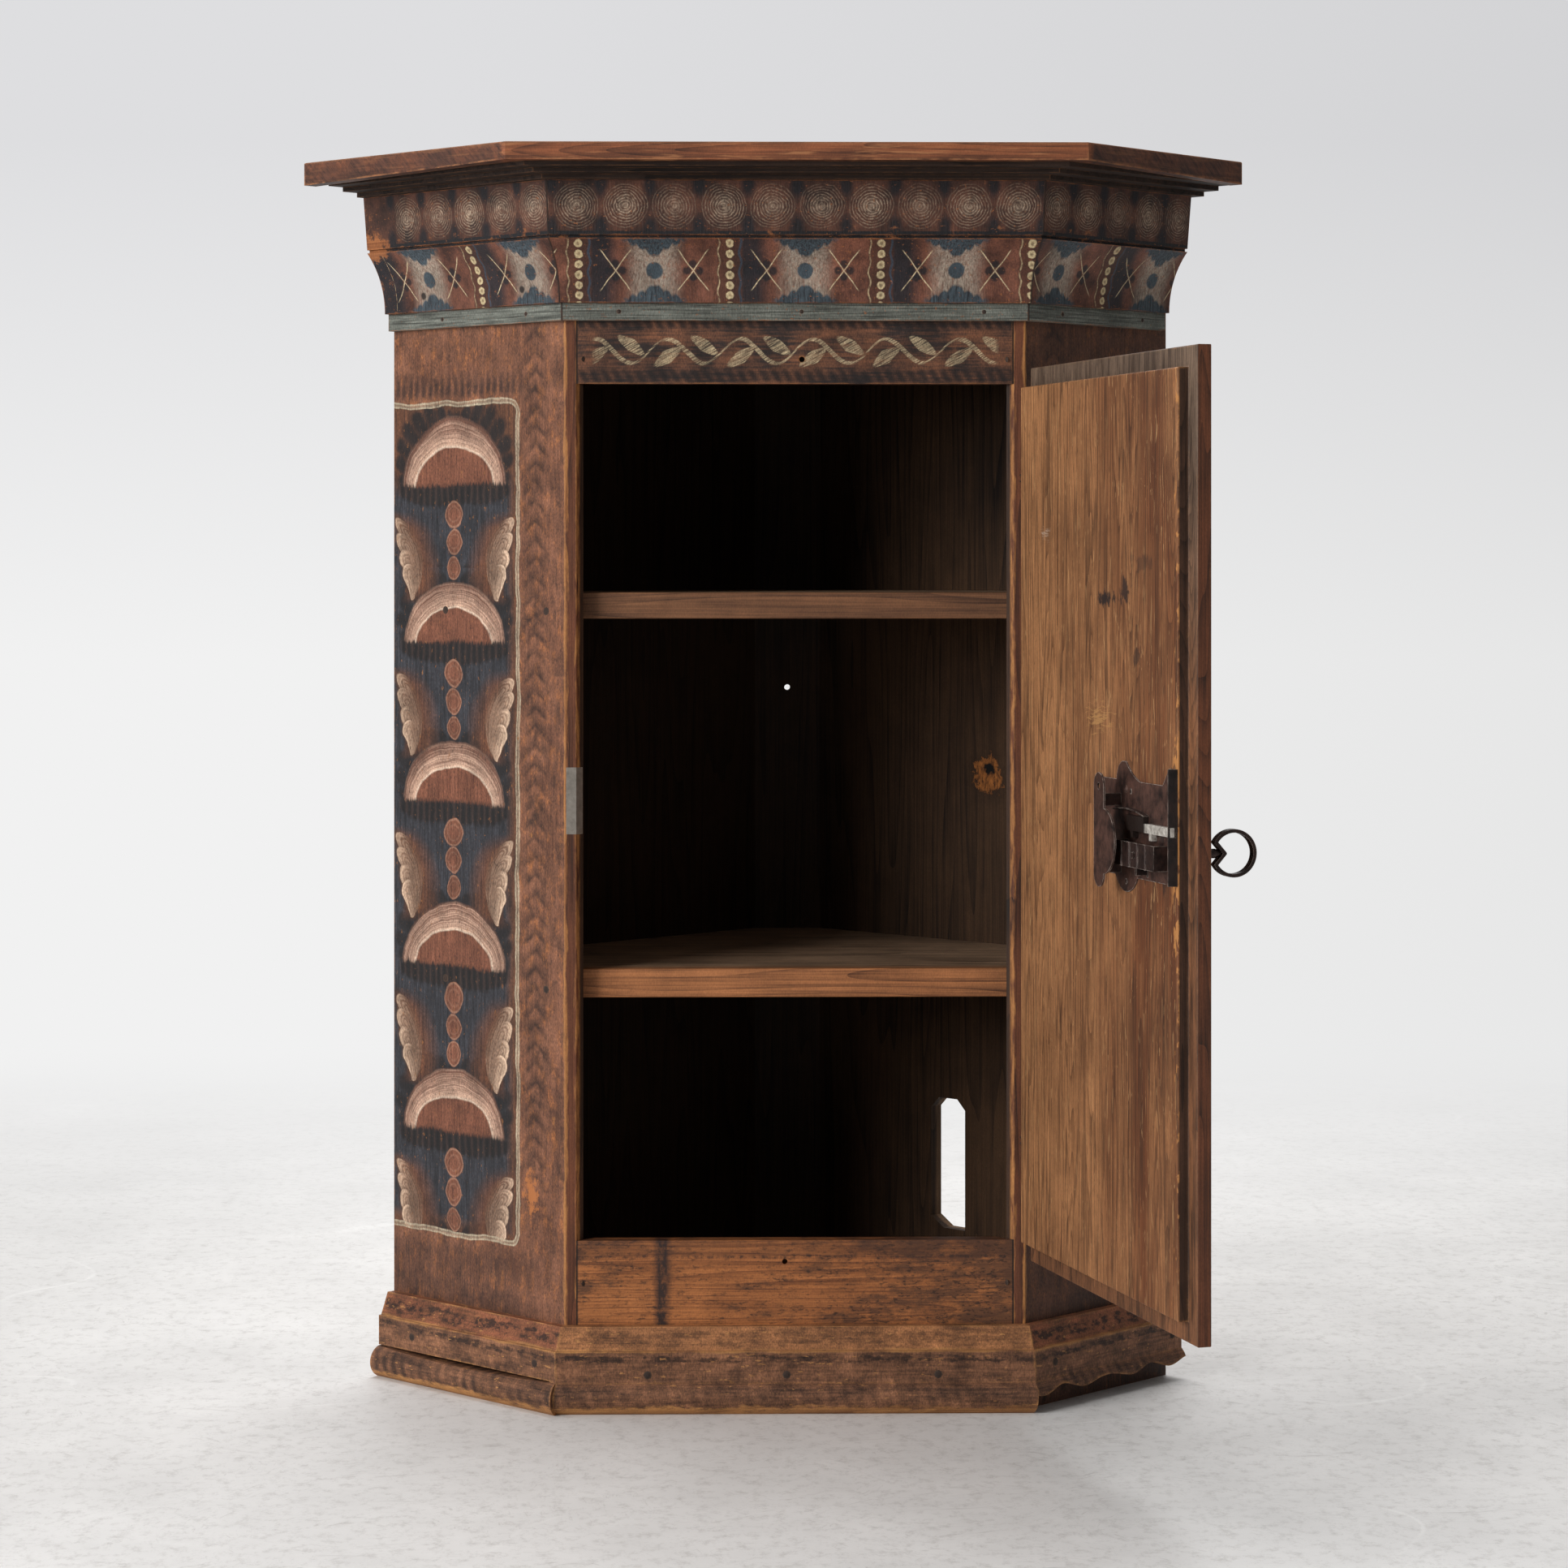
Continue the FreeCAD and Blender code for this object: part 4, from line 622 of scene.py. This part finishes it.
def painted_base(name, turn, origin, slope, dabbed):
    """One length of the base, with the colour of its sloping band and how far that is dabbed."""
    material, shader, put = start_finish(name, 0.6, 0.3)
    place = set_out(put, turn, origin)
    p, _, z = axes(put, hand_drawn(put, place, 2.0, 22.0))
    streak = mottle(put, place, (46.0, 2.0, 1.6), 3.0)
    cloud = mottle(put, place, (42.0, 42.0, 15.0), 6.0, 0.7)
    tone = put("MULTIPLY_ADD", streak, 0.4, put("MULTIPLY_ADD", cloud, 0.8, -0.1))
    on_slope = put("MapRange", z, SLOPE_FOOT - 1.0, SLOPE_FOOT + 1.0)
    colour = put("Mix", tone, put("Mix", on_slope, "#3d281d", "#5b3b26"), put("Mix", on_slope, "#96674a", slope))
    smut = put("MapRange", mottle(put, place, (24.0, 24.0, 13.0), 7.0, 0.75), 0.55, 1.0, 0.0, 0.8)
    smut = put("MULTIPLY", smut, put("MapRange", on_slope, 0.0, 1.0, 0.9, dabbed))
    colour = put("Mix", smut, colour, "#2a1d18")

    # Rows of dabs on the slope and under its foot, and comb strokes on the roll
    blot = mottle(put, place, (9.0, 9.0, 5.0), 4.0, 0.65)
    dab = None
    for middle, reach, strength in (((SLOPE_FOOT + BASE_TOP) / 2, 9.0, dabbed), (SLOPE_FOOT - 6.0, 5.0, 0.75)):
        row = put("MapRange", apart(put, z, middle), reach * 0.35, reach, 0.3, -0.5)
        row = put("MapRange", put("ADD", blot, row), 0.62, 1.0, 0.0, strength)
        dab = row if dab is None else put("MAXIMUM", dab, row)
    tooth = put("PINGPONG", put("MULTIPLY_ADD", z, 0.25, p), 5.5)
    comb = put("MULTIPLY", put("MapRange", z, SLOPE_FOOT - 14.0, SLOPE_FOOT - 26.0, 0.0, 0.8),
               put("MapRange", tooth, 1.0, 4.5, 1.0, 0.0))
    comb = put("MULTIPLY", comb, put("MapRange", mottle(put, place, (40.0, 40.0, 30.0)), 0.15, 0.7, 0.0, dabbed))
    colour = aged(put, put("Mix", put("MAXIMUM", dab, comb), colour, "#211714"), place)

    # Bare wood along the kicked foot and the arris of the slope
    wood, _ = pine(put, place, 0, "#c08a52", "#7d5230")
    ragged = mottle(put, place, (26.0, 26.0, 9.0), 6.0, 0.75)
    kicked = put("MapRange", put("MULTIPLY_ADD", ragged, -9.0, z), 3.0, -0.5, 0.0, 0.9)
    rubbed = put("MapRange", apart(put, z, SLOPE_FOOT), 0.4, 1.8, 0.8, 0.0)
    rubbed = put("MULTIPLY", rubbed, put("MapRange", ragged, 0.3, 0.7))
    specks = put("MapRange", mottle(put, place, (7.0, 7.0, 2.4), 4.0), 0.86, 1.0, 0.0, 0.7)
    worn = put("MAXIMUM", rubbed_edges(put, place, 4.0, 0.6), put("MAXIMUM", specks, rubbed))
    finish_paint(put, shader, put("Mix", put("MAXIMUM", worn, kicked), colour, wood), streak)
    return material


dress(painted_base("brown_paint_base_front", 0.0, (0, 0, 0), "#b87c4f", 0.4), "base_front")
dress(painted_base("brown_paint_base_left", math.radians(45), LEFT_ARRIS, "#94583c", 0.85), "base_left_upper",
      "base_left_lower")
dress(painted_base("brown_paint_base_right", RIGHT_TURN, RIGHT_ARRIS, "#94583c", 0.85), "base_right")


# Door leaf: one wide pine board with a lip on three sides, bare inside and painted outside.
# The inside is planed, golden with handling and darker towards the lock; the lip is brown below
# and grey above, and the front repeats the painted panels.

PIVOT, DOOR_TURN = (0.1855, -0.0124, 0), math.radians(75)
GRAIN_LINES = 14.0  # fewer than in real pine, so that the lines still show
FIELD_EDGE, OUTER_FACE, LIP_FACE, FIELD_FACE = 350.5, 6.1, -4.9, -13.6
LOCK_HEIGHT = 470.0
panel = dict(centre=119.0, column=148.0, field=(45.0, 341.0, 142.0, 804.0), rows=PANEL_ROWS)
finish, shader, put, place, colour, streak = painted_board("pine_door", DOOR_TURN, PIVOT, panel)
s, depth, z = axes(put, place)
wood, relief = pine(put, place, 2, "#a9774e", "#50301b", 44.0)
darkening = mottle(put, place, (34.0, 34.0, 240.0), 5.0, 0.65)
shade = put("MULTIPLY", put("MapRange", s, 90.0, 290.0, 0.1, 1.0), put("MapRange", darkening, 0.1, 0.85, 0.2, 1.0))
wood = put("Mix", shade, wood, put("Mix", relief, "#6d3f24", "#361e13"))
pores = put("MapRange", mottle(put, place, (2.2, 2.2, 16.0), 3.0), 0.82, 1.0, 0.0, 0.6)
grain = put("TexNoise", put("VectorMath.DIVIDE", place, (26.0, 26.0, 700.0)), 1.0, 2.0, 0.45)
grain = put("PINGPONG", put("MULTIPLY", grain, GRAIN_LINES), 0.5)
wood = put("Mix", put("MAXIMUM", pores, put("MapRange", grain, 0.02, 0.2, 0.55, 0.0)), wood, "#3a2518")
blotted = mottle(put, place, (8.0, 8.0, 11.0), 4.0, 0.65)
scratch = mottle(put, hand_drawn(put, place, 8.0, 60.0), (1.6, 1.6, 50.0), 2.0)
wood = put("Mix", put("MapRange", scratch, 0.93, 1.0, 0.0, 0.5), wood, "#c39a6a")

# Two ink blots, some stains, a pale scuff and scratches, then the chips where the bolt strikes
STAINS = ((209.1, 647.4, 17.0, 7.0, 0.95), (246.6, 653.1, 10.0, 9.0, 0.85), (272.0, 606.0, 7.0, 6.0, 0.6),
          (283.0, 674.0, 20.0, 7.0, 0.4), (330.0, LOCK_HEIGHT, 20.0, 24.0, 0.7))
marks = None
for *shape, strength in STAINS:
    mark = put("MULTIPLY_ADD", blotted, 1.5, spot(put, s, z, *shape))
    mark = put("MapRange", mark, 1.75, 1.3, 0.0, strength)
    marks = mark if marks is None else put("MAXIMUM", marks, mark)
wood = put("Mix", marks, wood, "#241c1b")
scuffs = mottle(put, hand_drawn(put, place, 5.0, 25.0), (16.0, 16.0, 2.0), 4.0, 0.7)
for *shape, bared in ((76.5, 696.5, 15.0, 7.0, "#a58f7c"), (193.8, 558.4, 34.0, 14.0, "#a97f4e")):
    scuff = put("MULTIPLY_ADD", scuffs, -1.6, spot(put, s, z, *shape))
    wood = put("Mix", put("MapRange", scuff, -0.25, -0.7, 0.0, 0.7), wood, bared)
by_bolt = put("MapRange", apart(put, z, LOCK_HEIGHT), 60.0, 110.0, 0.3, 0.0)
chip = put("ADD", mottle(put, place, (7.0, 7.0, 15.0), 4.0), by_bolt)
chip = put("ADD", chip, put("MapRange", s, FIELD_EDGE - 3.5, FIELD_EDGE - 1.0, 0.0, 0.2))
chip = put("MULTIPLY", put("MapRange", chip, 0.85, 1.0, 0.0, 0.9),
           put("MapRange", s, FIELD_EDGE - 14, FIELD_EDGE - 5))
wood = put("Mix", chip, wood, "#b27a45")

# The step and the lip round the field, the step coloured dark as painted shade, then the edge of the board and its
# painted face
step, _ = pine(put, place, 2, "#4a3326", "#1f1510", 40.0)
lip, _ = pine(put, place, 2, "#85583a", "#2c1e17", 70.0)
grey_lip, _ = pine(put, place, 2, "#75604f", "#2f241e", 70.0)
lip = put("Mix", put("MapRange", z, 560.0, 760.0), lip, grey_lip)
grime = mottle(put, place, (9.0, 9.0, 55.0), 6.0, 0.7)
lip = put("Mix", put("MapRange", grime, 0.35, 0.9, 0.0, 0.7), lip, "#2a1c14")
edge, _ = pine(put, place, 2, "#6e4029", "#251914", 60.0)
wood = put("Mix", put("MapRange", depth, FIELD_FACE + 1.2, FIELD_FACE + 1.8), wood, step)
wood = put("Mix", put("MapRange", depth, LIP_FACE - 0.6, LIP_FACE - 0.3), wood, lip)
wood = put("Mix", put("MapRange", depth, LIP_FACE + 0.4, LIP_FACE + 0.9), wood, edge)
worn = put("MULTIPLY", rubbed_edges(put, place, 3.0, 0.62), put("LESS_THAN", depth, OUTER_FACE - 1.0))
worn = put("MULTIPLY", worn, put("MapRange", mottle(put, place, (40.0, 40.0, 70.0)), 0.3, 0.7, 0.25, 1.0))
wood = put("Mix", worn, wood, "#a9774a")
colour = put("Mix", put("MapRange", depth, OUTER_FACE - 0.9, OUTER_FACE - 0.4), wood, colour)
finish_paint(put, shader, colour, relief)
dress(finish, "door_leaf")


# Ironwork: hand-forged lock, staples and nails, black-brown with edges that handling keeps bright, lightened
# further as painted highlights.
# Rust browns the plate and the bridge of the lock; the strike is worn bright, and the bolt's head is worn bright
# and coloured near white as a painted highlight.
# The hammered surface scatters light in small facets.

BOLT_HEAD = 299.0


def forged_iron(name, dark, rust, edge, roughness, metallic, wear=0.8, patch=7.0):
    """Hammered iron, with patches of rust as wide as said in millimetres, and rubbed edges that are partly worn
    bright and partly painted highlights.
    """
    material, shader, put = start_finish(name, roughness, 0.5)
    shader.inputs["Metallic"].default_value = metallic
    place = set_out(put)
    bloom = mottle(put, place, [patch] * 3, 6.0, 0.7)
    handled_and_highlit = put("MapRange", mottle(put, place, [6.0] * 3), 0.2, 0.8, 0.1, 1.0)
    handled_and_highlit = put("MULTIPLY", handled_and_highlit, rubbed_edges(put, place, 0.9, wear))
    colour = put("Mix", handled_and_highlit, put("Mix", bloom, dark, rust), edge)
    hammer = put("TexVoronoi", put("VectorMath.DIVIDE", place, [3.5] * 3), 1.0)
    finish_paint(put, shader, colour, put("MULTIPLY_ADD", bloom, 0.4, hammer))
    return material, shader, put, colour


def darken_along_door(put, shader, colour, start, end, strengths, shade):
    """Darkens the iron from one place to another along the door."""
    run = axes(put, set_out(put, DOOR_TURN, PIVOT))[0]
    colour = put("Mix", put("MapRange", run, start, end, *strengths), colour, shade)
    shader.id_data.links.new(colour, shader.inputs["Base Color"])


rusty_iron, shader, put, colour = forged_iron(
    "rusted_lock_iron", "#1a1312", "#61443a", "#c4b8ad", 0.45, 0.3, wear=1.25, patch=12.0)
# Painted shade: the lock iron at and past the edge of the field is darkened nearly to black
darken_along_door(put, shader, colour, FIELD_EDGE - 0.4, FIELD_EDGE - 0.1, (0.0, 0.8), "#120d0c")
dress(rusty_iron, "lock_plate", "lock_bridge")
black_iron, *_ = forged_iron("forged_iron", "#15100f", "#44302a", "#b3a69b", 0.42, 0.45, 1.15)
dress(black_iron, "lock_strap", "lock_spring", "lock_nails", "key", "frame_staple_upper", "frame_staple_lower",
      "door_staple_upper", "door_staple_lower", "top_nails", "back_nails")
dull_iron, *_ = forged_iron("rusted_nail_iron", "#211915", "#3a281e", "#4a382b", 0.85, 0.0)
dress(dull_iron, "shelf_nails", "cornice_nails", "base_nails", "front_nails")
bright_iron, *_ = forged_iron("worn_bright_iron", "#7d766e", "#9a938a", "#b5aea5", 0.4, 0.6)
dress(bright_iron, "strike_plate")
# The bolt's head is worn metal with a painted highlight; the rest of the bolt, inside the lock, is darkened as
# painted shade
bolt_iron, shader, put, colour = forged_iron("bolt_iron", "#857c73", "#f0eae0", "#f4efe6", 0.38, 0.4, 0.8, 3.5)
darken_along_door(put, shader, colour, BOLT_HEAD, BOLT_HEAD + 4.0, (1.0, 0.0), "#2f2521")
dress(bolt_iron, "lock_bolt")


# Studio: a pale floor with fine scratches that runs up into a plain backdrop.
# Far back the camera sees only the backdrop's own glow, a grey painted lighter low down and darker towards the top
# and the right, while the floor keeps the shadow.

NEAR_FLOOR, FAR_FLOOR = 300.0, 2300.0
material, shader, put = start_finish("pale_concrete_floor", 0.5, 0.3)
place = set_out(put)
x, back, up = axes(put, place)
colour = put("Mix", mottle(put, place, [200.0] * 3, 8.0, 0.68), "#cdcbc9", "#dcdad8")
grit = put("MapRange", mottle(put, place, (13.0, 17.0, 13.0), 6.0, 0.8), 0.5, 1.0, 0.0, 0.6)
colour = put("Mix", grit, colour, "#aaa6a2")
drawn_out = put("VectorMath.DIVIDE", hand_drawn(put, place, 60.0, 300.0), (130.0, 22.0, 1.0))
scratches = put("TexNoise", drawn_out, 1.0, 5.0, 0.7)
colour = put("Mix", put("MapRange", scratches, 0.6, 0.7, 0.0, 0.5), colour, "#a9a5a1")
curve = put("TexNoise", put("VectorMath.DIVIDE", place, [420.0] * 3), 1.0, 1.0, 0.4)
curve = put("MapRange", apart(put, curve, 0.5), 0.001, 0.004, 0.25, 0.0)
curve = put("MULTIPLY", curve, put("MapRange", mottle(put, place, [330.0] * 3), 0.5, 0.8))
colour = put("Mix", curve, colour, "#f4f3f1")
# Painted light and shade: the floor is coloured darker on the left, where the window light falls, and lighter from
# the middle rightwards
colour = put("Mix.MULTIPLY", 1.0, colour, put("MapRange", x, -700.0, -150.0, 0.93, 1.16))
shader.id_data.links.new(colour, shader.inputs["Base Color"])
# Painted light: the far backdrop glows, lighter low down and darker high up and to the right
grey = put("Mix", put("MapRange", up, 500.0, 1500.0), "#f1f1f1", "#dedee0")
grey = put("Mix.MULTIPLY", put("MapRange", x, -600.0, 1800.0), grey, "#f2f2f2")
glow = put("Emission", grey, 1.0)
rays = put("LightPath").node.outputs
seen = put("MAXIMUM", put("MAXIMUM", rays["Is Camera Ray"], rays["Is Glossy Ray"]), rays["Is Transmission Ray"])
far = put("MapRange", back, NEAR_FLOOR, FAR_FLOOR, interpolation_type="SMOOTHSTEP")
far = put("MULTIPLY", far, seen)
surface = put("MixShader", far, shader.outputs[0], glow)
output = material.node_tree.nodes["Material Output"]
material.node_tree.links.new(surface, output.inputs["Surface"])

half_width, front_end, back_end, wall_height = 6.0, -5.0, 4.5, 5.0
sheet = bmesh.new()
corners = [sheet.verts.new(p) for p in ((-half_width, front_end, 0), (half_width, front_end, 0),
                                        (half_width, back_end, 0), (-half_width, back_end, 0))]
sheet.faces.new(corners)
back_edge = sheet.edges.get((corners[2], corners[3]))
lifted = bmesh.ops.extrude_edge_only(sheet, edges=[back_edge])["geom"]
bmesh.ops.translate(sheet, vec=(0, 0, wall_height), verts=[g for g in lifted if isinstance(g, bmesh.types.BMVert)])
bmesh.ops.bevel(sheet, geom=[back_edge], offset=2.0, offset_type="OFFSET", affect="EDGES",
                segments=24, profile=0.5, material=-1)
bmesh.ops.recalc_face_normals(sheet, faces=sheet.faces)
mesh = bpy.data.meshes.new("studio")
sheet.to_mesh(mesh)
sheet.free()
for face in mesh.polygons:
    face.use_smooth = True
mesh.materials.append(material)
studio = bpy.data.objects.new("studio", mesh)
bpy.context.scene.collection.objects.link(studio)

world = bpy.data.worlds.new("studio_light")
world.use_nodes = True
sky = world.node_tree.nodes["Background"].inputs
sky["Color"].default_value, sky["Strength"].default_value = linear("#ffffff"), 0.25
bpy.context.scene.world = world
LAMPS = (("window_light", (-3.0, -2.5, 1.7), 2.0, 142.0), ("ceiling_light", (-0.2, 1.0, 3.0), 2.6, 95.0))
LIT_POINT = Vector((0, 0, 0.5))
for name, place, size, power in LAMPS:
    lamp = bpy.data.lights.new(name, "AREA")
    lamp.size, lamp.energy = size, power
    light = bpy.data.objects.new(name, lamp)
    light.location = place
    light.rotation_euler = (LIT_POINT - Vector(place)).to_track_quat("-Z", "Y").to_euler()
    bpy.context.scene.collection.objects.link(light)

camera_data = bpy.data.cameras.new("camera")
camera_data.sensor_width, camera_data.lens = 36.0, 88.15
camera_data.shift_y = -0.1406
camera = bpy.data.objects.new("camera", camera_data)
camera.location = (-0.0599, -3.0599, 0.6731)
camera.rotation_euler = (math.pi / 2, 0, -0.0167)
bpy.context.scene.collection.objects.link(camera)
bpy.context.scene.camera = camera
bpy.context.scene.view_settings.view_transform = "Standard"
